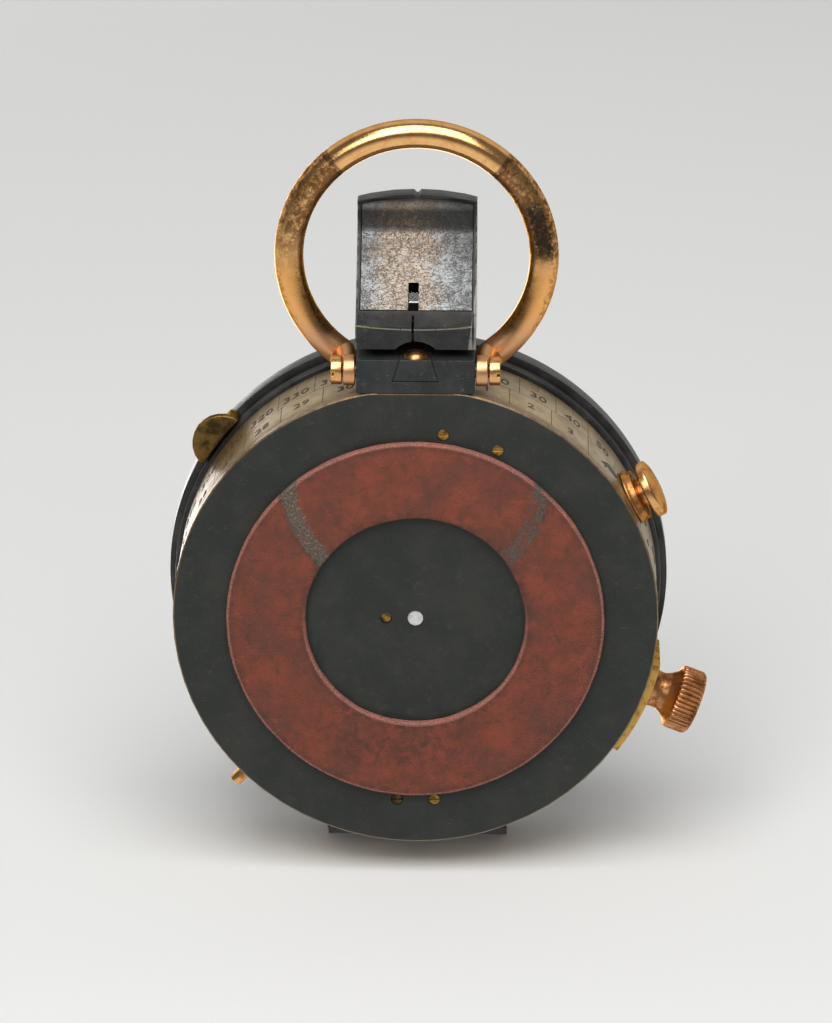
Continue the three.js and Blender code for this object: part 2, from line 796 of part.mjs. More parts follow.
// Focusing slide: the dovetail bar, its neck and its hinge knuckle
const slideTop = blockTop - seatGap;
const slideNeck = block(
  [-slideKnuckleHalf, -prismAxisOutset - prismBarrelRadius, slideTop - slideKnuckleHalf],
  [slideKnuckleHalf, -slideNeckInset, prismAxisHeight],
);
const slidePinHole = barAcross(
  prismPinRadius + seatGap, -lugOuter, lugOuter, -prismAxisOutset, prismAxisHeight, pinSideCount,
);
const neckRoom = block(
  [-blockHalfWidth, -blockFace + rebateDepth, rebateBottom - cutOverrun],
  [blockHalfWidth, 0, blockTop + freeGap],
);
const focusSlide = cutBy(
  joined(
    dovetail(0, baseFace + seatGap, slideTop),
    cutBy(slideNeck, neckRoom),
    barAcross(
      prismBarrelRadius, -slideKnuckleHalf, slideKnuckleHalf, -prismAxisOutset, prismAxisHeight,
    ),
  ),
  slidePinHole,
);
piece("focus_slide", focusSlide, bronzed);
const studOutline = [0, 0.25, 0.5, 0.75, 0.92].map((share) => [
  studRadius * Math.cos((share * Math.PI) / 2),
  studRise * Math.sin((share * Math.PI) / 2),
]);
const stud = turned([[0, 0], ...studOutline, [0, studRise]], boltSideCount);
const studMesh = piece("focus_stud", stud, gilt);
studMesh.position.set(0, -blockFace - seatGap, studHeight);
studMesh.rotation.set(Math.PI / 2, 0, 0);
piece(
  "prism_hinge_pin",
  barAcross(prismPinRadius, -lugOuter, lugOuter, -prismAxisOutset, prismAxisHeight, pinSideCount),
  agedBrass,
);

// The sloping side of the prism box: straight, then bent flat towards its far end
function slopeLine() {
  const bend = new THREE.QuadraticBezierCurve(
    new THREE.Vector2(-slopeOutset, slopeHeight),
    new THREE.Vector2(-bendOutset, bendHeight),
    new THREE.Vector2(-boxFar, bendHeight),
  );
  return [new THREE.Vector2(-shelfOutset, shelfHeight), ...bend.getPoints(bendStepCount)];
}
// The same line moved inwards, square to itself.
function slopeInset(distance) {
  const line = slopeLine();
  return line.map((here, i) => {
    const before = line[Math.max(i - 1, 0)];
    const after = line[Math.min(i + 1, line.length - 1)];
    const along = after.clone().sub(before).normalize();
    return [here.x + along.y * distance, here.y - along.x * distance];
  });
}
const slope = slopeInset(0);
const boxOutline = [
  [-boxNear, boxBottom],
  [-boxNear, boxTop],
  [-boxFar, boxTop],
  [-boxFar, endEdgeHeight],
  [-boxFar + endWall, endEdgeHeight],
  ...slope.filter(([y]) => y > -boxFar + endWall).reverse(),
  [-lipOutset, boxBottom],
];
const cavityBottom = boxBottom + boxWall;
const openSide = slopeInset(-cutOverrun).filter(([y]) => y > -boxFar + endWall).reverse();
const cavityOutline = [
  [-boxNear - boxWall, cavityBottom],
  [-boxNear - boxWall, boxTop - boxWall],
  [-boxFar, boxTop - boxWall],
  [-boxFar, endEdgeHeight - cutOverrun],
  ...openSide.slice(0, -1),
  [-shelfOutset - boxWall + cheekThickness, shelfHeight - cheekThickness + boxWall],
  [-lipOutset + cheekThickness, cavityBottom],
];
const innerHalf = boxHalfWidth - cheekThickness;
function endRound(radius) {
  return round(radius, 0, boxTop + boxTop, caseSideCount).translate(0, boxEndRadius - boxFar, 0);
}
const lugBottom = rebateBottom + seatGap;
function lugOf(from, to) {
  return joined(
    slab([
      [-boxNear + seatGap, lugBottom],
      [-lugInset, lugBottom],
      [-lugInset, prismAxisHeight],
      [-prismAxisOutset - prismBarrelRadius, prismAxisHeight],
      [-boxNear + seatGap, boxTop],
    ], from, to),
    barAcross(prismBarrelRadius, from, to, -prismAxisOutset, prismAxisHeight),
  );
}
const vNotch = prismOf(
  [[-notchHalf, -boxFar - seatGap], [notchHalf, -boxFar - seatGap], [0, -boxFar + notchDepth]],
  0, boxTop + cutOverrun,
);
const arch = round(archRadius, 0, boxBottom + archHeight, boltSideCount)
  .translate(0, -boxNear + archRadius - archDepth, 0);
const slit = block(
  [-slotOffset - slitWidth / 2, -shelfOutset - cutOverrun, 0],
  [-slotOffset + slitWidth / 2, -boxNear + cutOverrun, shelfHeight],
);
const eyeHole = solidOf(
  new THREE.CylinderGeometry(eyeHoleRadius, eyeHoleRadius, 2 * boxWall + freeGap, boltSideCount)
    .translate(0, -boxNear - boxWall / 2, eyeHoleHeight),
);
const fieldHole = round(fieldLensRadius + seatGap, boxTop - 2 * boxWall, boxTop + cutOverrun, boltSideCount)
  .translate(0, -fieldLensOutset, 0);
const housing = cutBy(
  slab(boxOutline, -boxHalfWidth, boxHalfWidth).intersect(endRound(boxEndRadius)),
  slab(cavityOutline, -innerHalf, innerHalf).intersect(endRound(boxEndRadius - endWall)),
  vNotch,
  arch,
  slit,
  eyeHole,
  fieldHole,
);
piece("prism_housing", housing, bronzed);

// The two hinge lugs on the near side of the box
const lugHole = barAcross(
  prismPinRadius + runningGap, -lugOuter - cutOverrun, lugOuter + cutOverrun,
  -prismAxisOutset, prismAxisHeight, pinSideCount,
);
piece("prism_lug_left", cutBy(lugOf(-lugOuter, -lugInner), lugHole), bronzed);
piece("prism_lug_right", cutBy(lugOf(lugInner, lugOuter), lugHole), bronzed);

// Cover of the sloping side, with the sight slot at its near end
const coverHalf = innerHalf - coverSideGap;
const coverStart = boxWall;
const coverStep = coverStart / Math.SQRT2;
function coverLine(inset) {
  return slopeInset(inset).map(([y, z], i) => (i ? [y, z] : [y - coverStep, z + coverStep]));
}
const coverOutline = [...coverLine(coverInset), ...coverLine(coverInset + coverThickness).reverse()];
const slotReach = coverStart + slotLength;
const slotCut = block(
  [-slotOffset - slotHalf, -shelfOutset - slotReach / Math.SQRT2, 0],
  [-slotOffset + slotHalf, 0, boxTop],
);
const coverPlate = slab(coverOutline, -coverHalf, coverHalf)
  .intersect(endRound(boxEndRadius - endWall - coverSideGap));
piece("prism_cover", cutBy(coverPlate, slotCut), wornSteel);

// The glass prism and the two lenses
const cornerY = -boxNear - boxWall - prismSetBack;
const cornerZ = boxTop - boxWall - prismSetBack;
const prismOutline = [[cornerY, cornerZ], [cornerY - prismLeg, cornerZ], [cornerY, cornerZ - prismLeg]];
piece("prism_glass", slab(prismOutline, -coverHalf, coverHalf), clearGlass);
const eyeLens = solidOf(
  new THREE.CylinderGeometry(
    eyeHoleRadius - seatGap, eyeHoleRadius - seatGap, eyeLensThickness, boltSideCount,
  ).translate(0, -boxNear - boxWall / 2, eyeHoleHeight),
);
piece("eye_lens", eyeLens, clearGlass);
const lensTop = boxTop - seatGap;
const fieldLens = turned([
  [0, lensTop - fieldLensThickness],
  [fieldLensRadius, lensTop - fieldLensThickness],
  [fieldLensRadius, lensTop - fieldLensThickness / 2],
  [fieldLensRadius / 2, lensTop - fieldLensThickness / 8],
  [0, lensTop],
], boltSideCount);
piece("field_lens", fieldLens, clearGlass).position.set(0, -fieldLensOutset, 0);

// Bow ring: a round wire from eye to eye, cranked down to its pivots
const ringHeight = ringPivotHeight + ringCrank;
class RingLine extends THREE.Curve {
  getPoint(share, target = new THREE.Vector3()) {
    const angle = ringEndAngle + 2 * share * (Math.PI - ringEndAngle);
    const [across, along] = [ringRadius * Math.sin(angle), ringRadius * Math.cos(angle)];
    return target.set(across, along - ringCentreOutset, ringHeight);
  }
}
const ringSection = new THREE.Shape();
for (let i = 0; i < ringSectionCount; i += 1) {
  const angle = (2 * Math.PI * i) / ringSectionCount;
  const at = [wireRadius * Math.cos(angle), wireRadius * Math.sin(angle)];
  if (i) ringSection.lineTo(...at);
  else ringSection.moveTo(...at);
}
const wire = solidOf(
  new THREE.ExtrudeGeometry(ringSection, {
    steps: ringStepCount, extrudePath: new RingLine(), bevelEnabled: false,
  }),
);
function ringEnd(side) {
  const from = Math.min(side * eyeFrom, side * eyeTo);
  const to = Math.max(side * eyeFrom, side * eyeTo);
  const end = new RingLine().getPoint(side > 0 ? 0 : 1);
  const ball = new THREE.SphereGeometry(wireRadius, ringSectionCount, ringSectionCount / 2);
  const shank = slab([
    [-ringPivotOutset - lugHeadHalf, ringPivotHeight],
    [-ringPivotOutset + lugHeadHalf, ringPivotHeight],
    [-ringPivotOutset + lugHeadHalf, ringHeight + lugHeadDrop],
    [-ringPivotOutset - lugHeadHalf, ringHeight + lugHeadDrop],
  ], from, to);
  return joined(
    solidOf(ball.translate(end.x, end.y, end.z)),
    shank,
    barAcross(ringEyeRadius, from, to, -ringPivotOutset, ringPivotHeight),
  );
}
const ringHole = barAcross(
  ringHoleRadius, -ringRadius, ringRadius, -ringPivotOutset, ringPivotHeight, pinSideCount,
);
piece("bow_ring", cutBy(joined(wire, ringEnd(-1), ringEnd(1)), ringHole), gilt);

[["left", -1], ["right", 1]].forEach(([word, side]) => {
  const headFrom = eyeTo + ringEyeGap;
  const headTo = headFrom + ringHeadWidth;
  const shankFrom = blockHalfWidth - ringScrewDepth;
  const onSide = (from, to) => (side > 0 ? [from, to] : [-to, -from]);
  const headSpan = onSide(headFrom, headTo);
  const shankSpan = onSide(shankFrom, headFrom + seatGap);
  const slotSpan = onSide(headTo - slotDepth, headTo + cutOverrun);
  const slot = block(
    [slotSpan[0], -ringPivotOutset - slotWidth / 2, ringPivotHeight - ringHeadRadius - seatGap],
    [slotSpan[1], -ringPivotOutset + slotWidth / 2, ringPivotHeight + ringHeadRadius + seatGap],
  );
  const screw = cutBy(
    joined(
      barAcross(ringHeadRadius, ...headSpan, -ringPivotOutset, ringPivotHeight),
      barAcross(ringScrewRadius, ...shankSpan, -ringPivotOutset, ringPivotHeight, pinSideCount),
    ),
    slot,
  );
  piece("ring_pivot_" + word, screw, gilt);
});

// Bezel ring with its skirt inside the wall, its glass and the wire that holds it
const glassSeat = bezelBottom + bezelGlassSeat;
const glassBore = bezelGlassRadius + seatGap;
const bezel = turned([
  [bezelSkirtRadius - bezelSkirtThickness, bezelSkirtBottom],
  [bezelSkirtRadius, bezelSkirtBottom],
  [bezelSkirtRadius, bezelBottom],
  [bezelRadius - bezelChamfer, bezelBottom],
  [bezelRadius, bezelBottom + bezelChamfer],
  [bezelRadius, bezelTop - bezelChamfer],
  [bezelRadius - bezelChamfer, bezelTop],
  [glassBore, bezelTop],
  [glassBore, glassSeat],
  [bezelSkirtRadius - bezelSkirtThickness, glassSeat],
]);
piece("bezel_ring", bezel, bronzed);
const bezelGlassTop = glassSeat + bezelGlassThickness;
piece("bezel_glass", round(bezelGlassRadius, glassSeat, bezelGlassTop, caseSideCount), clearGlass);
piece(
  "glass_ring",
  ring(
    bezelGlassRadius - glassRingWidth, bezelGlassRadius,
    bezelGlassTop, bezelGlassTop + glassRingThickness,
  ),
  agedBrass,
);

// Lid: frame with its hinge knuckle, window glass, retaining ring, hairline and thumb tab
const lidSeatHeight = lidTop - lidTopThickness;
const lidTurning = turned([
  [lidWindowRadius, lidSeatHeight],
  [lidRadius - lidRimWidth, lidSeatHeight],
  [lidRadius - lidRimWidth, lidBottom],
  [lidRadius, lidBottom],
  [lidRadius, lidTop - lidChamfer],
  [lidRadius - lidChamfer, lidTop],
  [lidWindowRadius, lidTop],
]);
piece("lid_frame", lidTurning, bronzed);
const lidStrap = cutBy(
  joined(
    block(
      [-lidKnuckleHalf, 0, lidBottom],
      [lidKnuckleHalf, lidAxisOutset + lidStrapReach, lidBottom + lidStrapThickness],
    ),
    barAcross(lidBarrelRadius, -lidKnuckleHalf, lidKnuckleHalf, lidAxisOutset, lidAxisHeight),
  ),
  round(lidRadius + seatGap, 0, lidTop, caseSideCount),
  barAcross(
    lidPinRadius + runningGap, -lidKnuckleHalf - cutOverrun, lidKnuckleHalf + cutOverrun,
    lidAxisOutset, lidAxisHeight, pinSideCount,
  ),
);
piece("lid_strap", lidStrap, bronzed);
const lidGlassBottom = lidSeatHeight - seatGap - lidGlassThickness;
piece("lid_glass", round(lidGlassRadius, lidGlassBottom, lidSeatHeight - seatGap, caseSideCount), clearGlass);
const lidRing = turned([
  [lidRingInnerRadius, lidBottom + seatGap],
  [lidRadius - lidRimWidth - seatGap, lidBottom + seatGap],
  [lidRadius - lidRimWidth - seatGap, lidSeatHeight - seatGap],
  [lidGlassRadius + seatGap, lidSeatHeight - seatGap],
  [lidGlassRadius + seatGap, lidGlassBottom - seatGap],
  [lidRingInnerRadius, lidGlassBottom - seatGap],
]);
piece("lid_glass_ring", lidRing, bronzed);
const hairline = solidOf(
  new THREE.CylinderGeometry(hairlineRadius, hairlineRadius, 2 * lidWindowRadius - seatGap, lineSideCount),
).translate(0, 0, lidSeatHeight + hairlineRadius + seatGap);
piece("hairline", hairline, darkSteel);
const tabBottom = lidBottom - tabDrop;
const tabInner = bezelRadius + freeGap;
const tabOuter = caseRadius + tabReach + tabRadius;
const tabPlace = new THREE.Matrix4().makeRotationZ(radians(tabAngle));
const tab = cutBy(
  placed(round(tabRadius, tabBottom, lidBottom).translate(caseRadius + tabReach, 0, 0), tabPlace),
  round(tabInner, 0, lidTop, caseSideCount),
  ring(tabInner + tabPostDepth, tabOuter + cutOverrun, tabBottom + tabThickness, lidTop),
);
piece("thumb_tab", tab, agedBrass);

// Hinge block of the lid, its pin and the pin that the closed lid presses
const lidBlockOuter = caseRadius + lidBlockDepth;
const sleeveFrom = lidKnuckleHalf + runningGap;
const caseKnuckles = [[-lidBarrelHalf, -sleeveFrom], [sleeveFrom, lidBarrelHalf]].map(([from, to]) =>
  joined(
    barAcross(lidBarrelRadius, from, to, lidAxisOutset, lidAxisHeight),
    slab([
      [lidAxisOutset + lidBarrelRadius, lidBlockTop + lidBarrelRadius / 2],
      [lidAxisOutset + lidBarrelRadius, lidAxisHeight],
      [lidAxisOutset - lidBarrelRadius, lidAxisHeight],
      [lidAxisOutset - lidBarrelRadius, lidBlockTop - lidBarrelRadius],
    ], from, to),
  ),
);
const liftPinBore = round(liftPinRadius + runningGap, liftPinBottom - freeGap, lidTop, pinSideCount)
  .translate(0, liftPinOutset, 0);
const lidBlock = cutBy(
  joined(
    block([-lidBarrelHalf, 0, lidBlockBottom], [lidBarrelHalf, lidBlockOuter, lidBlockTop]),
    block([-lidTongueHalf, 0, lidTongueBottom], [lidTongueHalf, lidBlockOuter, lidBlockTop]),
    ...caseKnuckles,
  ),
  round(wallOuter + seatGap, 0, lidTop, caseSideCount),
  barAcross(
    lidPinRadius + seatGap, -lidBarrelHalf - cutOverrun, lidBarrelHalf + cutOverrun,
    lidAxisOutset, lidAxisHeight, pinSideCount,
  ),
  leverWindow,
  liftPinBore,
);
piece("lid_hinge_block", lidBlock, bronzed);
piece(
  "lid_hinge_pin",
  barAcross(lidPinRadius, -lidBarrelHalf, lidBarrelHalf, lidAxisOutset, lidAxisHeight, pinSideCount),
  agedBrass,
);
const liftPin = round(liftPinRadius, liftPinBottom, lidBottom - seatGap, pinSideCount);
piece("lifter_pin", liftPin, agedBrass).position.set(0, liftPinOutset, 0);

// Lifter lever under the card, in its bracket on the floor
const leverArm = slab([
  [leverRingInner + seatGap, leverRingUnder],
  [leverPivotOutset - leverRingOuter, leverUnder],
  [liftPinOutset + liftPinRadius, leverUnder],
  [liftPinOutset + liftPinRadius, leverOver],
  [leverPivotOutset - leverRingOuter, leverOver],
  [leverRingInner + seatGap, leverRingTop],
], -leverHalfWidth, leverHalfWidth);
const leverPinRoom = barAcross(
  leverPinRadius + runningGap, -leverHalfWidth - cutOverrun, leverHalfWidth + cutOverrun,
  leverPivotOutset, leverPivotHeight, pinSideCount,
);
const leverEye = barAcross(
  leverThickness, -leverHalfWidth, leverHalfWidth, leverPivotOutset, leverPivotHeight, pinSideCount,
);
const lever = cutBy(
  joined(
    leverArm,
    leverEye,
    ring(leverRingInner, leverRingOuter, leverRingUnder, leverRingTop, boltSideCount),
  ),
  round(leverRingInner, 0, lidTop, boltSideCount),
  leverPinRoom,
);
piece("lifter_lever", lever, agedBrass);
const cheekInner = leverHalfWidth + runningGap;
const bracket = cutBy(
  block(
    [-cheekInner - bracketCheek, leverPivotOutset - bracketHalfDepth, floorTop + seatGap],
    [cheekInner + bracketCheek, leverPivotOutset + bracketHalfDepth, leverPivotHeight + bracketHalfDepth],
  ),
  block(
    [-cheekInner, leverPivotOutset - bracketHalfDepth - cutOverrun, slotUnder],
    [cheekInner, leverPivotOutset + bracketHalfDepth + cutOverrun, leverPivotHeight + cutOverrun],
  ),
  barAcross(
    leverPinRadius + seatGap, -cheekInner - 2 * bracketCheek, cheekInner + 2 * bracketCheek,
    leverPivotOutset, leverPivotHeight, pinSideCount,
  ),
);
piece("lifter_bracket", bracket, agedBrass);
piece(
  "lifter_pivot",
  barAcross(
    leverPinRadius, -cheekInner - bracketCheek, cheekInner + bracketCheek,
    leverPivotOutset, leverPivotHeight, pinSideCount,
  ),
  darkSteel,
);

// Card with its hub and two magnets
piece(
  "compass_card",
  ring(hubTopRadius + seatGap, cardRadius, cardHeight, cardHeight + cardThickness),
  cardWhite,
);
const hub = turned([
  [0, hubBottom + jewelDepth],
  [jewelRadius, hubBottom],
  [hubRadius, hubBottom],
  [hubRadius, cardHeight - seatGap],
  [hubTopRadius, cardHeight - seatGap],
  [hubTopRadius, hubBottom + hubHeight - jewelRadius / 2],
  [hubTopRadius / 2, hubBottom + hubHeight],
  [0, hubBottom + hubHeight],
], boltSideCount);
piece("card_hub", hub, agedBrass);
[["left", -1], ["right", 1]].forEach(([word, side]) => {
  const magnet = block(
    [side * magnetOffset - magnetWidth / 2, -magnetLength / 2, cardHeight - seatGap - magnetHeight],
    [side * magnetOffset + magnetWidth / 2, magnetLength / 2, cardHeight - seatGap],
  );
  piece("magnet_" + word, magnet, darkSteel);
});

// The origin goes to the middle of the bottom of the bounding box
const bounds = new THREE.Box3().setFromObject(compass);
const centre = bounds.getCenter(new THREE.Vector3());
compass.position.set(-centre.x, -centre.y, -bounds.min.z);

export default compass;
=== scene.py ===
# %% [markdown]
# # A prismatic marching compass, dressed for its portrait
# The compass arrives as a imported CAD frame: fifty-one small solids that ride on the bodies of a
# motion model. This lesson gives those solids their looks. Wherever a turning, a wire or a disc
# needs to be rounder than the CAD draws it, a numpy surface takes its place; milled pieces are
# kept, with their edges broken. All sizes below are in millimetres round the compass axis.

# %% Load the frame
import json
import math

import bmesh
import bpy
import numpy as np
from mathutils import Matrix, Vector

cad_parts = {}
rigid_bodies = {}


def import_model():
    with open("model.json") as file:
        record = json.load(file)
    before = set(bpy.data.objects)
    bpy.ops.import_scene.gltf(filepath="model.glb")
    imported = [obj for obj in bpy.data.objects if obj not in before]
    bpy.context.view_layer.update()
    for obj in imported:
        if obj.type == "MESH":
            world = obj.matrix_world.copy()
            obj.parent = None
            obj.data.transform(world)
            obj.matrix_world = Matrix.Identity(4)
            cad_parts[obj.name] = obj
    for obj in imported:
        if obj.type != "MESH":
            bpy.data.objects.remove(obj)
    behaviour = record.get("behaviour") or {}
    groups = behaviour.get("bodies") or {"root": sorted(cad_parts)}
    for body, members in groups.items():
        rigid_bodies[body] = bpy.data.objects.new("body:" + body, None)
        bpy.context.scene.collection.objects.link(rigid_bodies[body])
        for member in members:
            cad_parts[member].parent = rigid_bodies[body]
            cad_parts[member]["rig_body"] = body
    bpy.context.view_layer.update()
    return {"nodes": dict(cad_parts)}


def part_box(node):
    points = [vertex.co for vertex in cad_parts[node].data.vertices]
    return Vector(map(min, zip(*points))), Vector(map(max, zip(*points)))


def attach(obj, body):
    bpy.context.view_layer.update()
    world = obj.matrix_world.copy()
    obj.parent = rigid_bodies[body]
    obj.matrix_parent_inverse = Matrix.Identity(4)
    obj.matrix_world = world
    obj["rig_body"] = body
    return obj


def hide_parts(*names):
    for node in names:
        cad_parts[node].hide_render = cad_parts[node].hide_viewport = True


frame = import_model()
low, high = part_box("base_ring")
AXIS = np.array([(low.x + high.x) / 2, (low.y + high.y) / 2, 0.0])

MM = 1000  # millimetres in a metre
BAND_RADIUS = 26.9  # the scale band's face
BOW_Y, BOW_Z, BOW_RADIUS, BAR_RADIUS = -40.538, 6.7, 14, 1.6
PIVOT_Y, PIVOT_Z = -28.7, 2.5  # the pivots of the bow ring
RADIAL_HEIGHT = 7.2  # the axes of the brake button and the clamp screw
BUTTON_ANGLE, CLAMP_ANGLE = -27.1, 21.6  # degrees round the wall
SHARP = 32  # degrees, above which an edge isn't shaded smooth

# %% [markdown]
# ## From arrays to meshes
# Every new surface is a grid of points: two parameters, three coordinates. Quads between
# neighbours make the skin. Where a profile touches its axis the quads collapse to triangles when
# doubles are merged, so poles close by themselves, and where a grid wraps round, its seam is
# shared from the start. Afterwards the normals are turned outwards island by island.

# %% Grid skins and pieces


def quads(rows, columns, wrap_rows, wrap_columns):
    """Corner numbers of the faces of a grid: (i, j), (i+1, j), (i+1, j+1), (i, j+1)."""
    i = np.arange(rows if wrap_rows else rows - 1)
    j = np.arange(columns if wrap_columns else columns - 1)
    i, j = np.meshgrid(i, j, indexing="ij")
    i2, j2 = (i + 1) % rows, (j + 1) % columns
    corners = [i * columns + j, i2 * columns + j, i2 * columns + j2, i * columns + j2]
    return np.stack(corners, -1).reshape(-1, 4)


def skin(points, wrap_rows=True, wrap_columns=True):
    """A grid of points (rows, columns, 3) as flat points and faces."""
    rows, columns = points.shape[:2]
    return points.reshape(-1, 3), quads(rows, columns, wrap_rows, wrap_columns)


def placed(name, data):
    """A new object made of some data, linked to the scene."""
    thing = bpy.data.objects.new(name, data)
    bpy.context.scene.collection.objects.link(thing)
    return thing


def settle(mesh, sharp):
    """Merges doubles, turns faces outwards and shades smooth up to an angle."""
    work = bmesh.new()
    work.from_mesh(mesh)
    bmesh.ops.remove_doubles(work, verts=work.verts, dist=2e-7)
    bmesh.ops.dissolve_degenerate(work, edges=work.edges, dist=1e-8)
    bmesh.ops.recalc_face_normals(work, faces=work.faces)
    work.to_mesh(mesh)
    work.free()
    mesh.shade_smooth()
    mesh.set_sharp_from_angle(angle=math.radians(sharp))


def piece(name, skins, body, finish, stands_for=(), sharp=SHARP):
    """One object from several (points in axis millimetres, faces), riding on a body. Faces are
    an array, or a list where they differ in their number of corners."""
    points, faces, start = [], [], 0
    for some_points, some_faces in skins:
        points.append(some_points)
        if isinstance(some_faces, np.ndarray):
            faces += (some_faces + start).tolist()
        else:
            faces += [tuple(corner + start for corner in face) for face in some_faces]
        start += len(some_points)
    mesh = bpy.data.meshes.new(name)
    mesh.from_pydata((np.concatenate(points) / MM + AXIS).tolist(), [], faces)
    settle(mesh, sharp)
    mesh.materials.append(finish)
    thing = placed(name, mesh)
    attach(thing, body)
    if stands_for:
        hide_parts(*stands_for)
    print(f"{name}: {len(mesh.polygons)} faces on {body}")


# %% [markdown]
# ## Turning on a lathe
# Most of a compass is turned. A profile of radius and height goes round an axis; its corners are
# first broken with a small quadratic curve, because no lathe tool leaves a perfectly sharp edge
# and the soft corner is what catches the light.

# %% Profiles and lathe work


def broken(profile, size, steps=4, closed=True):
    """Each corner P becomes (1-s)^2 A + 2 s (1-s) P + s^2 B, with A and B a little way
    towards its neighbours: at most 45 % of the way."""
    p = np.asarray(profile, float)

    def towards(neighbour):
        step = neighbour - p
        reach = np.linalg.norm(step, axis=1, keepdims=True)
        return (p + step / reach * np.minimum(size, 0.45 * reach))[:, None]

    a, b = towards(np.roll(p, 1, 0)), towards(np.roll(p, -1, 0))
    s = np.linspace(0, 1, steps)[None, :, None]
    curve = (1 - s) ** 2 * a + 2 * s * (1 - s) * p[:, None] + s ** 2 * b
    if not closed:
        curve[0], curve[-1] = p[0], p[-1]
    return curve.reshape(-1, 2)


def turned(profile, sides, ripple=None):
    """Points (r cos t, r sin t, h) of a profile of (r, h) turned through t; ripple(t, r, h)
    may add to r, for a knurl."""
    r, h = np.asarray(profile, float).T
    t = np.arange(sides) * 2 * np.pi / sides
    t, r = np.meshgrid(t, r, indexing="ij")
    h = np.broadcast_to(h, t.shape)
    if ripple is not None:
        r = r + ripple(t, r, h)
    return np.stack([r * np.cos(t), r * np.sin(t), h], -1)


def outwards(points, angle):
    """Turns local Z into the direction that points out of the case at an angle."""
    c, s = math.cos(math.radians(angle)), math.sin(math.radians(angle))
    x, y, z = np.moveaxis(points, -1, 0)
    return np.stack([z * c - x * s, x * c + z * s, y + RADIAL_HEIGHT], -1)


def along_x(points, y, z):
    """Turns local Z into the X direction, through (y, z)."""
    return np.stack([points[..., 2], points[..., 0] + y, points[..., 1] + z], -1)


# %% [markdown]
# ## Breaking the edges of milled pieces
# Blocks, lugs and screws keep the shape the CAD gives them. A copy of the node is welded, and a
# narrow bevel follows every sharp edge. A tenth of a millimetre is enough: it turns a hard black
# corner into the thin bright line that handling wears into blackened brass.

# %% Softened copies of CAD nodes


def softened(node, finish, slot, width, segments=2, sharp=SHARP):
    """A welded copy of a CAD node whose sharp edges are bevelled by a width in millimetres.
    Flat faces keep flat shading, so that no gradient runs across them."""
    source = frame["nodes"][node]
    mesh = source.data.copy()
    mesh.name = node + "_dressed"
    work = bmesh.new()
    work.from_mesh(mesh)
    bmesh.ops.remove_doubles(work, verts=work.verts, dist=2e-6)
    bmesh.ops.dissolve_limit(work, angle_limit=math.radians(1), verts=work.verts, edges=work.edges)
    work.to_mesh(mesh)
    work.free()
    thing = placed(mesh.name, mesh)
    mesh.materials.clear()
    mesh.materials.append(finish)
    if width:
        bevel = thing.modifiers.new("edge", "BEVEL")
        bevel.width = width / MM
        bevel.segments = segments
        bevel.limit_method = "ANGLE"
        bevel.angle_limit = math.radians(sharp)
        bevel.use_clamp_overlap = True
        graph = bpy.context.evaluated_depsgraph_get()
        done = bpy.data.meshes.new_from_object(thing.evaluated_get(graph))
        thing.modifiers.clear()
        thing.data = done
        bpy.data.meshes.remove(mesh)
        mesh = done
    mesh.shade_smooth()
    mesh.set_sharp_from_angle(angle=math.radians(sharp))
    level = np.zeros(len(mesh.polygons) * 3, np.float32)
    mesh.polygons.foreach_get("normal", level)
    curved = np.abs(level.reshape(-1, 3)).max(1) < 0.9999
    mesh.polygons.foreach_set("use_smooth", curved)
    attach(thing, source["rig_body"])
    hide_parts(node)
    print(f"{thing.name}: {len(mesh.polygons)} faces")


# %% [markdown]
# ## Writing shaders as sums
# Node trees are easier to read as arithmetic. `Wire` holds one socket and knows how to add,
# multiply and compare. `Tree` makes every node through a single method, and `Finish` is a tree
# that starts a material with one Principled shader. The floors and the world use them too.

# %% Shader arithmetic


class Wire:
    """A number, colour or vector on its way through a node tree."""

    def __init__(self, tree, socket):
        self.tree, self.socket = tree, socket

    def maths(self, operation, *others, clamp=False):
        settings = {"operation": operation, "use_clamp": clamp}
        return self.tree.node("ShaderNodeMath", settings, [self, *others])[0]

    def __add__(self, other): return self.maths("ADD", other)
    def __radd__(self, other): return self.maths("ADD", other)
    def __sub__(self, other): return self.maths("SUBTRACT", other)
    def __rsub__(self, other): return self * -1.0 + other
    def __mul__(self, other): return self.maths("MULTIPLY", other)
    def __truediv__(self, other): return self.maths("DIVIDE", other)

    def size(self): return self.maths("ABSOLUTE")
    def clamped(self): return self.maths("ADD", 0.0, clamp=True)
    def at_least(self, other): return self.maths("MAXIMUM", other)

    def ramp(self, start, end):
        """Smooth step: 0 up to start, 1 from end on."""
        settings = {"interpolation_type": "SMOOTHSTEP"}
        return self.tree.node("ShaderNodeMapRange", settings, [self, start, end])[0]

    def band(self, low, high, soft):
        """1 between two values, fading out over soft."""
        return self.ramp(low - soft, low + soft) * self.ramp(high + soft, high - soft)

    def coat(self, share, *rgb):
        """This colour, with a share of a screen colour laid over it."""
        return self.tree.mix(share, self, paint(*rgb))


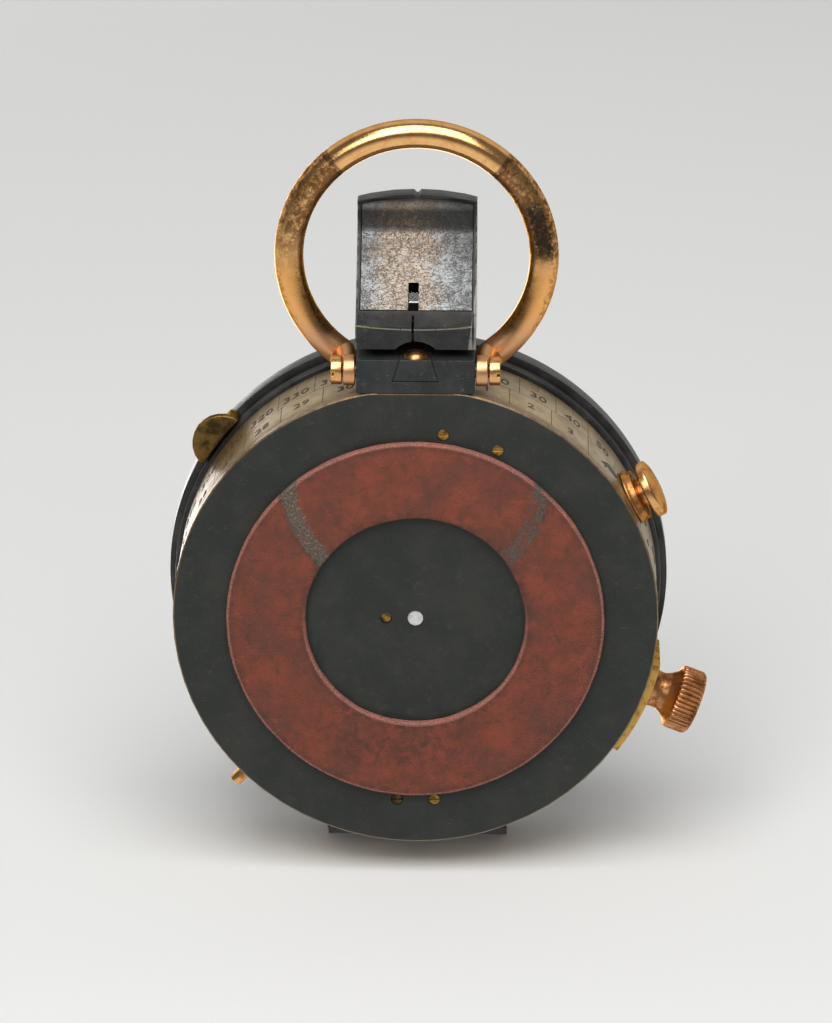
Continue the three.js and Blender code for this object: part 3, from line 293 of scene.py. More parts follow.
class Tree:
    """A node tree under construction."""

    def __init__(self, graph):
        self.graph = graph

    def node(self, kind, settings, inputs):
        """Makes a node: its settings first, then values or wires for its sockets in order."""
        made = self.graph.nodes.new(kind)
        for key, value in settings.items():
            setattr(made, key, value)
        sockets = [s for s in made.inputs if s.enabled and not s.hide]
        for socket, value in zip(sockets, inputs):
            if isinstance(value, Wire):
                self.graph.links.new(value.socket, socket)
            elif value is not None:
                socket.default_value = value
        return [Wire(self, s) for s in made.outputs if s.enabled]

    def mix(self, share, first, second):
        """A colour between two, by a share from 0 to 1."""
        return self.node("ShaderNodeMix", {"data_type": "RGBA"}, [share, first, second])[0]

    def gradient(self, value, stops):
        """Colours by value: stops are (value, colour), evenly mixed in between."""
        low, high = stops[0][0], stops[-1][0]
        share = self.node("ShaderNodeMapRange", {}, [value, low, high])[0]
        wire = self.node("ShaderNodeValToRGB", {}, [share])[0]
        elements = wire.socket.node.color_ramp.elements
        for place, _ in stops[1:-1]:
            elements.new((place - low) / (high - low))
        for element, (_, color) in zip(elements, stops):
            element.color = color
        return wire

    def named(self, kind):
        """A node without inputs, as a table of its outputs by name."""
        return {wire.socket.name: wire for wire in self.node(kind, {}, [])}


class Finish(Tree):
    """A material under construction, with the place in axis millimetres ready to use."""

    def __init__(self, name, **fixed):
        self.material = bpy.data.materials.new(name)
        self.material.use_nodes = True
        super().__init__(self.material.node_tree)
        self.shader = self.graph.nodes["Principled BSDF"]
        for socket, value in fixed.items():
            title = socket.replace("_", " ").title().replace("Ior", "IOR")
            self.shader.inputs[title].default_value = value
        here = self.node("ShaderNodeTexCoord", {}, [])[3]
        centred = self.node("ShaderNodeVectorMath", {"operation": "SUBTRACT"}, [here, tuple(AXIS)])[0]
        self.mm = self.node("ShaderNodeVectorMath", {"operation": "MULTIPLY"}, [centred, (MM,) * 3])[0]
        self.x, self.y, self.z = self.node("ShaderNodeSeparateXYZ", {}, [self.mm])
        self.radius = (self.x * self.x + self.y * self.y).maths("SQRT")

    def noise(self, scale, detail=3.0, rough=0.55, bend=0.0, place=None):
        """Cloudy noise from 0 to 1, at a scale in waves per millimetre."""
        return self.node("ShaderNodeTexNoise", {}, [place or self.mm, scale, detail, rough, 2.0, bend])[0]

    def stretched(self, along, turn=(0, 0, 0)):
        """The place in millimetres, turned and stretched, for scratches and grain."""
        turn = tuple(math.radians(t) for t in turn)
        return self.node("ShaderNodeMapping", {}, [self.mm, (0, 0, 0), turn, along])[0]

    def wiggles(self, scale, half, detail=3.0, place=None):
        """Thin winding lines: where a noise crosses its middle value."""
        field = self.noise(scale, detail, 0.55, 0.0, place)
        return (field - 0.5).size().ramp(half * 1.6, half * 0.6)

    def shade(self, color, roughness, metallic=None, height=None, depth=0.02):
        """Feeds the shader and returns the material; depth is the bump's, in millimetres."""
        for name, value in (("Base Color", color), ("Roughness", roughness), ("Metallic", metallic)):
            if isinstance(value, Wire):
                self.graph.links.new(value.socket, self.shader.inputs[name])
            elif value is not None:
                self.shader.inputs[name].default_value = value
        if height is not None:
            bump = self.graph.nodes.new("ShaderNodeBump")
            bump.inputs["Strength"].default_value = 1.0
            bump.inputs["Distance"].default_value = depth / MM
            self.graph.links.new(height.socket, bump.inputs["Height"])
            self.graph.links.new(bump.outputs["Normal"], self.shader.inputs["Normal"])
        return self.material


def paint(red, green, blue):
    """A screen colour, 0 to 255, as the linear colour that a shader wants."""
    c = np.array([red, green, blue]) / 255
    c = np.where(c <= 0.04045, c / 12.92, ((c + 0.055) / 1.055) ** 2.4)
    return (*c.tolist(), 1.0)


# %% [markdown]
# ## Blackened brass
# The case, the hinges, the bezel and the lid are brass that was chemically darkened to a green
# black and then lacquered. It is nearly matt, clouded by handling, with hairline scuffs. On the
# base plate's rim the skin is worn through to the metal. On the short flat of the rim by the hinge
# block, the same warm metal is a painted highlight. The ears of the lid hinge get a near black copy
# of the skin, which is painted shade.

# %% The dark finishes


def bronzed(name, base, light, rough=0.5, metal=0.25, wear=0.5, case=False):
    """Green black skin; wear is how much of its fine scuffing shows."""
    f = Finish(name)
    cloud = f.noise(0.22, 4.0, 0.6)
    patch = f.noise(0.9, 5.0, 0.65, 0.5)
    speck = f.noise(7.0, 3.0, 0.65).ramp(0.56, 0.76)
    place = f.stretched((0.5, 2.2, 1.6), (0, 0, 24))
    scuff = f.wiggles(1.2, 0.006, 2.0, place) * patch.ramp(0.50, 0.66)
    color = f.mix(cloud.ramp(0.35, 0.7), paint(*base), paint(*light))
    color = color.coat(speck * 0.26 + scuff * wear, 122, 120, 110)
    color = color.coat(patch.ramp(0.62, 0.76) * 0.35, 84, 82, 72)
    metallic, roughness = metal, rough + (cloud - 0.5) * 0.25 + (patch - 0.5) * 0.2
    if case:
        # The side of the rim is worn to bare metal; flat is a painted highlight on the rim's short flat by
        # the hinge block.
        side = f.radius.ramp(26.80, 26.86) * f.z.band(0.9, 2.6, 0.02)
        flat = f.y.ramp(-26.30, -26.36) * f.z.ramp(1.25, 1.15) * f.x.size().ramp(6.6, 6.2)
        bare_and_highlight = side.at_least(flat)
        warm = f.mix(patch.ramp(0.35, 0.6), paint(134, 106, 68), paint(158, 132, 100))
        color = f.mix(bare_and_highlight * (0.70 + patch * 0.35), color, warm)
        metallic = bare_and_highlight * 0.45 + metal
        roughness = roughness - bare_and_highlight * 0.1
    return f.shade(color, roughness, metallic, height=f.noise(5.0, 3.0) - scuff * 0.6, depth=0.008)


case_black = bronzed("case_black", (43, 46, 43), (55, 57, 52), wear=0.28, case=True)
lid_black = bronzed("lid_black", (50, 51, 51), (78, 77, 76), rough=0.40, metal=0.5)
block_black = bronzed("block_black", (42, 45, 46), (62, 64, 62), rough=0.46, metal=0.3, wear=0.8)
# A near black copy of the skin for the lid hinge's ears: painted shade.
shaded_ear_black = bronzed("shaded_ear_black", (10, 10, 10), (24, 24, 23), rough=0.7, metal=0.3, wear=0.2)


def prism_skin():
    """The prism's box: blackened and rubbed at its side edges, with a painted highlight along the lip's
    curved edge, and on the right cheek a painted sheen with painted shade at its core.
    """
    f = Finish("prism_black")
    cloud = f.noise(0.5, 4.0, 0.6)
    patch = f.noise(1.4, 5.0, 0.68, 0.5)
    fine = f.noise(5.0, 3.0, 0.6)
    color = f.mix(cloud.ramp(0.35, 0.7), paint(40, 42, 42), paint(60, 60, 57))
    color = color.coat(patch.ramp(0.56, 0.70) * 0.5, 92, 90, 80)
    # A painted highlight along the lip's curved edge; the side edges are rubbed bright by wear.
    curve = (f.y + 33.72 + f.x * f.x * 0.0095).size()
    lip = curve.ramp(0.11, 0.03) * f.z.ramp(1.75, 1.65)
    corner = f.x.size().ramp(6.38, 6.52) * patch.ramp(0.42, 0.56)
    lip_highlight_and_wear = lip.at_least(corner * 0.6) * fine.ramp(0.30, 0.46)
    color = color.coat(lip_highlight_and_wear * 0.9, 150, 148, 132)
    # A painted sheen on the right cheek, with painted shade at its core.
    rim = (f.y + 38.0) * -0.13 + 6.6
    cheek = (f.x - rim).ramp(-0.03, 0.03) * f.y.ramp(-31.2, -31.6)
    core = ((f.x - 6.28).size() + (f.y + 33.6).size() * 0.05).ramp(0.16, 0.10)
    color = color.coat(cheek * (patch.ramp(0.30, 0.50) * 0.5 + 0.35), 150, 147, 141)
    color = color.coat(cheek * core, 22, 22, 22)
    hair = (f.x + 0.36 + (patch - 0.5) * 0.25).size().ramp(0.11, 0.05)
    split = hair * f.y.band(-35.0, -31.0, 0.1) * f.z.ramp(3.5, 3.3)
    color = color.coat(split, 12, 12, 12)
    roughness = 0.44 + (cloud - 0.5) * 0.25 - lip_highlight_and_wear * 0.1
    return f.shade(color, roughness, 0.35, height=fine - split * 2.0, depth=0.01)


prism_black = prism_skin()

# %% [markdown]
# ## Yellow metals
# The bow ring, the button and the pivots are polished gilt brass. Where fingers don't reach, it
# has gone brown, as the button's collar has. The clamp screw is redder, and the small plates,
# screws and pins are old bare brass with a mottled skin.

# %% The brass finishes
EDGE_TINT = (0.7, 0.5, 0.3, 1)  # keeps brass warm where it is seen at a slant


def brass(name, bright, dull, rough, tarnish, scale=0.6):
    """Bright metal with dull stains where a cloud of noise passes the tarnish value."""
    f = Finish(name, metallic=1.0, specular_tint=EDGE_TINT)
    cloud = f.noise(scale, 5.0, 0.62)
    fine = f.noise(6.0, 3.0, 0.6)
    stain = (cloud + (fine - 0.5) * 0.18).ramp(tarnish - 0.12, tarnish + 0.12)
    color = f.mix(stain, paint(*bright), paint(*dull))
    roughness = rough + stain * 0.22 + (fine - 0.5) * 0.08
    return f.shade(color, roughness, None, height=fine, depth=0.004)


gilt = brass("gilt", (232, 178, 118), (172, 116, 62), rough=0.24, tarnish=0.60)
collar_gilt = brass("collar_gilt", (204, 146, 88), (140, 96, 50), rough=0.36, tarnish=0.52)
copper_gilt = brass("copper_gilt", (206, 148, 102), (134, 86, 52), rough=0.32, tarnish=0.55)
old_brass = brass("old_brass", (140, 112, 66), (78, 66, 42), rough=0.40, tarnish=0.50)
screw_brass = brass("screw_brass", (168, 134, 72), (96, 78, 42), rough=0.36, tarnish=0.52, scale=1.4)
plate_brass = brass("plate_brass", (206, 164, 90), (128, 96, 48), rough=0.34, tarnish=0.58, scale=0.9)


def ring_brass():
    """The bow ring: clean at the far end between two seams, browned below them on both sides,
    nearly black in one long patch on the right, and copper red towards the eyes."""
    f = Finish("ring_brass", metallic=1.0, specular_tint=EDGE_TINT)
    fine = f.noise(4.0, 5.0, 0.66)
    cloud = f.noise(0.8, 5.0, 0.62)
    down = f.y - BOW_Y
    turn = f.x.maths("ARCTAN2", down * -1.0)
    out = (f.x * f.x + down * down).maths("SQRT")
    left = turn.ramp(-1.75, -1.25) * turn.ramp(-0.68, -0.72)
    right = turn.ramp(1.66, 1.52) * turn.ramp(0.71, 0.75)
    inner = out.ramp(14.8, 13.0)
    speckle = f.noise(2.2, 6.0, 0.78)
    stain = (left + right) * (cloud * 0.5 + speckle * 0.8 + inner * 0.08).ramp(0.56, 0.72)
    low = turn.size().ramp(1.5, 1.75) * f.y.ramp(-31.0, -33.0)
    # Painted shade in olive along the inner and outer edges of the bar on its lower arcs.
    olive_edge_shade = low * (out - 14.05 - (cloud - 0.5) * 1.8).size().ramp(0.6, 1.2) * speckle.ramp(0.40, 0.56)
    middle = out - 14.1 - (fine - 0.5) * 2.6
    deep = middle.size().ramp(1.2, 0.6) * turn.band(1.08, 1.54, 0.05) * (fine + cloud).ramp(0.70, 0.86)
    seam = (turn + 0.70).size().ramp(0.035, 0.015).at_least((turn - 0.73).size().ramp(0.035, 0.015))
    color = f.mix(cloud.ramp(0.42, 0.74) * 0.7, paint(246, 192, 128), paint(222, 156, 92))
    color = color.coat(low * 0.6, 242, 172, 96)
    color = color.coat(f.y.ramp(-35.5, -31.0) * 0.8, 214, 164, 124)
    color = color.coat(olive_edge_shade * 0.65, 112, 84, 40)
    color = color.coat(stain * 0.85, 104, 66, 42)
    color = color.coat(deep * 0.9, 46, 44, 40)
    color = color.coat(seam * fine.ramp(0.36, 0.5) * 0.7, 84, 56, 34)
    roughness = 0.18 + stain * 0.22 + deep * 0.25 + (fine - 0.5) * 0.08 + f.y.ramp(-33.0, -31.0) * 0.2
    return f.shade(color, roughness, None, height=fine - stain * 0.5 - seam, depth=0.010)


ring_gold = ring_brass()


def simple(name, color, second, rough, metal, depth=0.006, **fixed):
    """A cloudy finish between two colours."""
    f = Finish(name, **fixed)
    cloud = f.noise(1.2, 4.0, 0.6)
    fine = f.noise(7.2, 3.0, 0.6)
    mixed = f.mix(cloud.ramp(0.35, 0.68), paint(*color), paint(*second))
    if not depth:
        return f.shade(mixed, rough, metal)
    return f.shade(mixed, rough + (fine - 0.5) * 0.12, metal, height=fine, depth=depth)


foot_metal = simple("foot_metal", (240, 240, 236), (206, 204, 198), 0.40, 0.6)
dark_steel = simple("dark_steel", (66, 68, 72), (96, 92, 88), 0.35, 0.9)
magnet_steel = simple("magnet_steel", (84, 92, 110), (58, 60, 70), 0.3, 1.0)
glass_clear = simple("glass_clear", (246, 250, 248), (238, 244, 242), 0.03, 0.0, depth=0.0,
                     transmission_weight=1.0, ior=1.5)


def prism_face():
    """Clear glass, turned black and metallic where it lies behind the slit: painted shade that keeps the
    slit dark.
    """
    f = Finish("prism_clear", transmission_weight=1.0, ior=1.5)
    # Painted shade: the glass behind the slit is made black.
    black = f.y.ramp(-35.5, -35.3)
    color = f.mix(black, paint(246, 250, 248), paint(6, 6, 6))
    return f.shade(color, 0.03, black)


prism_clear = prism_face()

# %% [markdown]
# ## The silvered scale
# Round the wall runs a band of sandy, lacquered brass, engraved and filled with black. Its lines
# are painted here, by angle and height: a line halfway up, and divisions above and below it. The
# numbers are made as real letters further on, because a shader is a clumsy engraver.

# %% The scale finish


def marks(angle, count, radius, half, soft, offset=0.0):
    """Lines at even angles, count of them: 1 where the arc to the nearest is under half."""
    turn = angle * (count / (2 * math.pi)) + offset
    near = (turn - turn.maths("ROUND")).size() * (2 * math.pi / count) * radius
    return near.ramp(half + soft, half - soft)


def scale_band_finish():
    """Sandy lacquer, darker at both edges with dirty mottling and painted shade, a painted shadow beside
    the thumb tab, black lines, and painted shade for one hole.
    """
    f = Finish("silvered_scale")
    angle = f.y.maths("ARCTAN2", f.x)
    cloud = f.noise(0.5, 5.0, 0.6)
    fine = f.noise(4.0, 4.0, 0.65)
    grime = f.noise(1.1, 5.0, 0.7, 0.8)
    color = f.mix(cloud.ramp(0.35, 0.7), paint(182, 160, 122), paint(150, 128, 90))
    color = color.coat(fine.ramp(0.56, 0.76) * 0.5, 112, 92, 62)
    # A painted shadow on the band beside the thumb tab.
    tab_shadow = ((angle + 2.50).size()).ramp(0.30, 0.05)
    color = color.coat(tab_shadow * grime.ramp(0.30, 0.55) * 0.8, 128, 94, 46)
    # Darker and mottled towards both edges, next to the base and the bezel: dirt, and painted shade where
    # the parts meet.
    dirt_and_shade = (f.z.ramp(3.6, 2.3) + f.z.ramp(11.6, 13.0)).clamped() * grime.ramp(0.28, 0.60)
    color = color.coat(dirt_and_shade * 0.8, 98, 76, 44)
    lines = f.z.band(7.54, 7.66, 0.03)
    for count, half, low, high, offset in ((32, 0.06, 2.6, 7.6, 0), (36, 0.055, 7.6, 12.6, 0.5),
                                           (72, 0.04, 11.0, 12.6, 0)):
        upright = marks(angle, count, BAND_RADIUS, half, 0.03, offset)
        lines = lines.at_least(upright * f.z.band(low, high, 0.04))
    ink = lines * fine.ramp(0.34, 0.48)
    # A spot painted near black where the peep hole lies: painted shade for a hole that this band doesn't
    # cut.
    across = (angle + math.radians(36.5)) * BAND_RADIUS
    hole = (across * across * 0.7 + (f.z - 5.8) * (f.z - 5.8)).maths("SQRT").ramp(0.98, 0.88)
    color = color.coat(ink * 0.85, 52, 42, 30)
    color = color.coat(hole, 8, 7, 6)
    metallic = 0.5 - ink * 0.5 + hole * 0.8
    return f.shade(color, 0.36 + (fine - 0.5) * 0.2 + (grime - 0.5) * 0.2 + ink * 0.3, metallic,
                   height=fine * 0.4 - ink, depth=0.02)


scale_silver = scale_band_finish()
engraving = simple("engraving", (56, 45, 31), (86, 70, 48), 0.6, 0.0)
ink_black = simple("ink_black", (26, 24, 22), (40, 36, 32), 0.6, 0.0)

# %% [markdown]
# ## Leather under the base
# The ring that the compass lies on is thin hide, brick red turned brown, darker where it is dirty,
# with a pinkish painted highlight along its raised outer edge and on the inner edge towards the lid
# hinge. Two bands across it are rubbed through to a grey green crust with yellow specks, where the
# folded bow ring has lain for years.

# %% The leather finish


def hide():
    """Mottled hide: clouds and pores, dirty rims with a painted highlight along their raised edges, then
    the two rubbed bands.
    """
    f = Finish("red_hide")
    grain = f.node("ShaderNodeTexVoronoi", {"feature": "DISTANCE_TO_EDGE"}, [f.mm, None, 4.5])[0]
    pores = f.noise(6.0, 5.0, 0.7)
    cloud = f.noise(0.25, 5.0, 0.62)
    blot = f.noise(0.8, 5.0, 0.68, 0.6)
    color = f.mix(cloud.ramp(0.30, 0.68), paint(152, 76, 54), paint(120, 66, 49))
    color = color.coat(blot.ramp(0.48, 0.72) * 0.7, 92, 61, 48)
    shade = f.noise(0.14, 3.0, 0.5).ramp(0.46, 0.66)
    color = color.coat(shade * 0.45, 92, 62, 52)
    color = color.coat(blot.ramp(0.44, 0.26) * 0.55, 168, 86, 66)
    color = color.coat(pores.ramp(0.52, 0.70) * 0.65, 78, 50, 41)
    color = color.coat(pores.ramp(0.44, 0.28) * 0.35, 182, 112, 88)
    foot = (f.y - 12.5) / 5.5
    side = (f.x + 2.0) / 9.0
    smudge = (foot * foot + side * side).ramp(1.3, 0.4) * blot.ramp(0.40, 0.62)
    color = color.coat(smudge * 0.35, 62, 46, 38)
    rims = f.radius.ramp(19.8, 20.8).at_least(f.radius.ramp(13.4, 12.5))
    color = color.coat(rims * blot.ramp(0.30, 0.60) * 0.6, 78, 52, 42)
    # A painted highlight: pinkish along the raised outer edge all round and on the inner edge towards the
    # lid hinge.
    edge_highlight = f.radius.ramp(20.60, 20.80).at_least(f.radius.ramp(12.62, 12.42) * f.y.ramp(-4.0, 6.0))
    color = color.coat(edge_highlight * (0.35 + pores).ramp(0.70, 0.95) * 0.85, 196, 134, 118)
    down = f.y + 17.15   # to the bow ring's middle, folded flat
    ragged = f.noise(1.6, 5.0, 0.7)
    far = (f.x * f.x + down * down).maths("SQRT") + (pores - 0.5) * 1.6 + (ragged - 0.5) * 2.6
    bow = far.band(13.2, 15.1, 0.25) * f.x.size().ramp(5.0, 6.5)
    rubbed = bow * (blot * 0.8 + ragged * 0.7 + f.x * -0.006).ramp(0.56, 0.74)
    crust = f.mix(pores.ramp(0.40, 0.58), paint(64, 61, 56), paint(112, 107, 96))
    sparks = f.noise(3.2, 5.0, 0.8).ramp(0.54, 0.60) * f.x.ramp(2.0, -2.0)
    crust = crust.coat(sparks * 0.85, 178, 146, 112)
    color = f.mix(rubbed * 0.90, color, crust)
    height = grain.ramp(0.0, 0.12) * 0.35 + pores * 0.9 + blot * 0.5 - rubbed * 0.8
    return f.shade(color, 0.74 + (pores - 0.5) * 0.25, 0.0, height=height, depth=0.07)


red_hide = hide()

# %% [markdown]
# ## The worn cover of the prism
# The sloping cover was silvered. Handling has burnished it in the middle to a warm tan, crossed
# by dark scratches, while across the bend at its far end lies a dark band of painted shade.

# %% The cover finish


def worn_silver():
    """Grey silver, a tan patch in the middle, crossing lines, pits, and painted shade across the bend at
    the far end.
    """
    f = Finish("worn_silver")
    cloud = f.noise(0.45, 5.0, 0.62, 0.4)
    grime = f.noise(1.5, 5.0, 0.68, 1.2)
    fine = f.noise(4.5, 4.0, 0.7)
    tilted = f.stretched((0.55, 1.0, 1.0), (0, 0, 38))
    crossed = f.stretched((0.6, 1.0, 1.0), (0, 0, -52))
    middle = ((f.x + 1.2).size() - 2.9 - (cloud - 0.5) * 7.0).ramp(2.2, -1.6)
    along = f.y.band(-45.6, -34.0, 0.6)
    tan_patch = middle * along * (grime * 0.7 + fine * 0.6).ramp(0.42, 0.74)
    grain = f.noise(9.0, 4.0, 0.7)
    color = f.mix(cloud.ramp(0.35, 0.65), paint(140, 143, 143), paint(112, 114, 115))
    color = color.coat(tan_patch * 0.8, 172, 150, 126)
    lines = f.wiggles(2.1, 0.016, 4.0, tilted) * grime.ramp(0.42, 0.54)
    lines = lines.at_least(f.wiggles(1.9, 0.016, 4.0, crossed) * grime.ramp(0.54, 0.44))
    lines = lines.at_least(f.wiggles(3.2, 0.020, 3.0) * cloud.ramp(0.40, 0.56) * 0.8)
    slash = f.noise(0.8, 2.0, 0.5, 0.0, f.stretched((0.35, 9.0, 9.0), (0, 0, 38))).ramp(0.63, 0.69)
    slash = slash * cloud.ramp(0.38, 0.52)
    pits = fine.ramp(0.58, 0.68) * grime.ramp(0.42, 0.58)
    color = color.coat(grain.ramp(0.50, 0.70) * 0.45, 66, 62, 58)
    color = color.coat(grain.ramp(0.46, 0.30) * 0.35, 196, 190, 180)
    color = color.coat(lines.at_least(pits).at_least(slash) * 0.62, 54, 50, 47)
    # Painted shade: a dark band across the bend at the far end, browner in the middle.
    bend_shade = f.y.ramp(-41.6, -42.6) * f.y.ramp(-44.9, -44.1)
    bend_shade_tone = f.mix(grime.ramp(0.50, 0.70) * middle, paint(44, 43, 43), paint(96, 80, 58))
    color = f.mix(bend_shade * (0.62 + fine * 0.4), color, bend_shade_tone)
    return f.shade(color, 0.40 + (grime - 0.5) * 0.3 + lines * 0.2, 0.55,
                   height=fine * 0.4 - lines, depth=0.015)


cover_silver = worn_silver()

# %% [markdown]
# ## The dial
# Under the glass turns a white card with a degree scale. It can't be seen in the portrait, but a
# compass is looked at from above, so it is finished too: a mark for every degree, longer ones at
# five and ten, a ring, and a plain pointer to the north.

# %% The card finish


def dial():
    """A white face with black marks by angle and radius."""
    f = Finish("dial_white")
    angle = f.y.maths("ARCTAN2", f.x)
    cloud = f.noise(0.4, 4.0, 0.6)
    ink = f.radius.band(21.15, 21.3, 0.03).at_least(f.radius.band(14.2, 14.3, 0.03))
    for count, inner, half in ((360, 19.9, 0.035), (72, 19.3, 0.05), (36, 18.6, 0.07)):
        ray = marks(angle, count, f.radius, half, 0.02)
        ink = ink.at_least(ray * f.radius.band(inner, 21.2, 0.03))
    side = f.x.size() - (f.y * -0.18 + 2.4)
    arrow = side.ramp(0.05, -0.05) * f.y.band(5.0, 13.2, 0.04) * f.z.ramp(9.0, 9.2)
    color = f.mix(cloud.ramp(0.3, 0.7), paint(236, 230, 212), paint(222, 212, 186))
    color = color.coat(ink.at_least(arrow) * f.z.ramp(9.0, 9.2), 28, 26, 26)
    return f.shade(color, 0.55, 0.0, height=cloud, depth=0.01)


dial_white = dial()

# %% [markdown]
# ## The case
# The CAD's case has the real holes for the foot, the rivet and the screws, so it stays and only
# its shading is softened. The scale band is a plain turning and is made again, rounder.

# %% Case and scale band
softened("case_body", case_black, "bronzed", width=0)
band = [(26.5, 2.35), (BAND_RADIUS, 2.35), (BAND_RADIUS, 13.0), (26.5, 13.0)]
piece("scale_band_fine", [skin(turned(broken(band, 0.08), 360))], "case", scale_silver,
      ["scale_band"])

# %% [markdown]
# Numbers on the band are flat letters, bent round the wall. A font gives the outlines; numpy
# turns their x into an angle and their y into a height, and gives them a little thickness.

# %% Numbers bent round the band
LETTER_SHARP = 20  # degrees
LETTER_RADIUS = 26.915  # just off the band's face


def lettering(words, size):
    """One mesh for each word, as points in millimetres with the word centred on x, and faces."""
    made = {}
    for word in sorted(set(words)):
        curve = bpy.data.curves.new("word", "FONT")
        curve.body = word
        curve.size = size
        curve.align_x = "CENTER"
        curve.align_y = "CENTER"
        curve.resolution_u = 2
        curve.extrude = 0.02
        thing = placed("word", curve)
        graph = bpy.context.evaluated_depsgraph_get()
        mesh = bpy.data.meshes.new_from_object(thing.evaluated_get(graph))
        points = np.zeros(len(mesh.vertices) * 3, np.float32)
        mesh.vertices.foreach_get("co", points)
        faces = [tuple(face.vertices) for face in mesh.polygons]
        made[word] = (points.reshape(-1, 3).astype(float), faces)
        bpy.data.objects.remove(thing)
        bpy.data.curves.remove(curve)
        bpy.data.meshes.remove(mesh)
    return made


def on_band(points, angle, height):
    """x goes round the band (arc length), y goes up, z stands out of the wall."""
    turn = math.radians(angle) + points[:, 0] / LETTER_RADIUS
    out = LETTER_RADIUS + points[:, 2]
    return np.stack([out * np.cos(turn), out * np.sin(turn), height + points[:, 1]], -1)


degrees = [str(10 * k) for k in range(36)]
points_row = [str(k) for k in range(32)]
letters = lettering(degrees + points_row, 2.3)
words = [(on_band(letters[w][0], -90 + 10 * k, 9.1), letters[w][1]) for k, w in enumerate(degrees)]
for k, word in enumerate(points_row):
    flat, faces = letters[word]
    words.append((on_band(flat * (0.9, 0.9, 1), -90 + 11.25 * (k + 0.5), 5.0), faces))
piece("band_numbers", words, "case", engraving, sharp=LETTER_SHARP)

# %% [markdown]
# ## The leather ring
# Cut from hide with a knife, so neither edge is a perfect circle. The grid goes round a rounded
# rectangle; slow waves move the outer edge by a tenth, and finer ones dent the face that shows.

# %% Leather ring


def waves(t, seed, counts, amount):
    """A sum of sines round the circle with seeded phases and falling strength."""
    chance = np.random.default_rng(seed)
    total = np.zeros_like(t)
    for count in counts:
        total += np.sin(count * t + chance.uniform(0, 6.28)) / math.sqrt(count)
    return amount * total / len(counts)


def leather_ring():
    """Points (r cos t, r sin t, h) of a rounded rectangle of (r, h). r loses up to the waves
    towards 21 and gains them towards 12.2; h rises by dents on the face at 0."""
    profile = broken([(12.2, 0.0), (21.0, 0.0), (21.0, 1.0), (12.2, 1.0)], 0.22, 6)
    steps = np.linspace(0, 1, 24)[1:-1]
    face = np.stack([12.5 + steps * 8.2, np.zeros_like(steps)], -1)
    top = np.stack([20.7 - steps * 8.2, np.ones_like(steps)], -1)
    r, h = np.concatenate([profile[:6], face, profile[6:18], top, profile[18:]]).T
    sides = 480
    t = np.arange(sides) * 2 * np.pi / sides
    t, r = np.meshgrid(t, r, indexing="ij")
    h = np.broadcast_to(h, t.shape).copy()
    outer = np.clip((r - 16) / 5.0, 0, 1)
    inner = np.clip((16 - r) / 3.8, 0, 1)
    r = r - outer * np.abs(waves(t, 4, [5, 11, 23, 41, 83], 0.30)) + inner * waves(t, 9, [4, 9, 23], 0.2)
    dent = np.abs(waves(t + r * 0.35, 5, [5, 13, 31], 0.10)) * np.clip(1 - h / 0.2, 0, 1)
    h = h + dent * np.clip((r - 12.6) / 0.6, 0, 1) * np.clip((20.6 - r) / 0.6, 0, 1)
    return np.stack([r * np.cos(t), r * np.sin(t), h], -1)


piece("leather_ring", [skin(leather_ring())], "case", red_hide, ["base_ring"], sharp=60)

# %% [markdown]
# ## The bow ring
# One bar of round brass, bent nearly full circle, flattened at both ends into an eye that turns
# on a slotted pivot. The bar is swept along a path: the circle first, then a short curve down to
# each eye, while its section changes from round to a flat oval.

# %% Bow ring


def sweep(path, wide, deep, sides=40):
    """Points c + wide cos t * e1 + deep sin t * e2 along a path; e1 lies in the plan of the
    ring, e2 stands on both the path and e1."""
    ahead = np.gradient(path, axis=0)
    ahead /= np.linalg.norm(ahead, axis=1, keepdims=True)
    hub = np.array([0, BOW_Y, BOW_Z])
    e1 = path - hub
    e1[:, 2] = 0
    e1 -= ahead * np.sum(e1 * ahead, 1, keepdims=True)
    e1 /= np.linalg.norm(e1, axis=1, keepdims=True)
    e2 = np.cross(ahead, e1)
    t = np.arange(sides) * 2 * np.pi / sides
    ring = wide[:, None, None] * np.cos(t)[None, :, None] * e1[:, None]
    return path[:, None] + ring + deep[:, None, None] * np.sin(t)[None, :, None] * e2[:, None]


def bow_ring():
    """The path is R (sin a, cos a) round the ring's middle, where the shanks leave a gap of
    0.639 rad on both sides, and a quadratic curve from each end of it down to the eye."""
    a = np.linspace(0.639, 2 * np.pi - 0.639, 300)
    circle = np.stack([BOW_RADIUS * np.sin(a), BOW_RADIUS * np.cos(a) + BOW_Y, np.full_like(a, BOW_Z)], -1)
    s = np.linspace(0, 1, 20)[1:, None]
    start, ahead = circle[0], np.array([-0.75, 0.55, 0])
    corner, eye = start + ahead * 0.9 + (0, 0, -0.9), np.array([7.3, PIVOT_Y, PIVOT_Z])
    bend = (1 - s) ** 2 * start + 2 * s * (1 - s) * corner + s ** 2 * eye
    path = np.concatenate([bend[::-1], circle, bend * (-1, 1, 1)])
    flat = np.concatenate([s[::-1, 0], np.zeros(len(a)), s[:, 0]])
    ease = flat ** 3
    grid = sweep(path, BAR_RADIUS - ease ** 2 * 0.97, BAR_RADIUS - ease * 0.3)
    first, last = (np.broadcast_to(row.mean(0), row.shape)[None] for row in (grid[0], grid[-1]))
    return skin(np.concatenate([first, grid, last]), wrap_rows=False)


def eye(side):
    """The ring's eye: a short turned barrel across X with a bore."""
    profile = broken([(0.8, 6.65), (1.7, 6.65), (1.7, 7.95), (0.8, 7.95)], 0.14)
    return skin(along_x(turned(profile, 96), PIVOT_Y, PIVOT_Z) * (side, 1, 1))


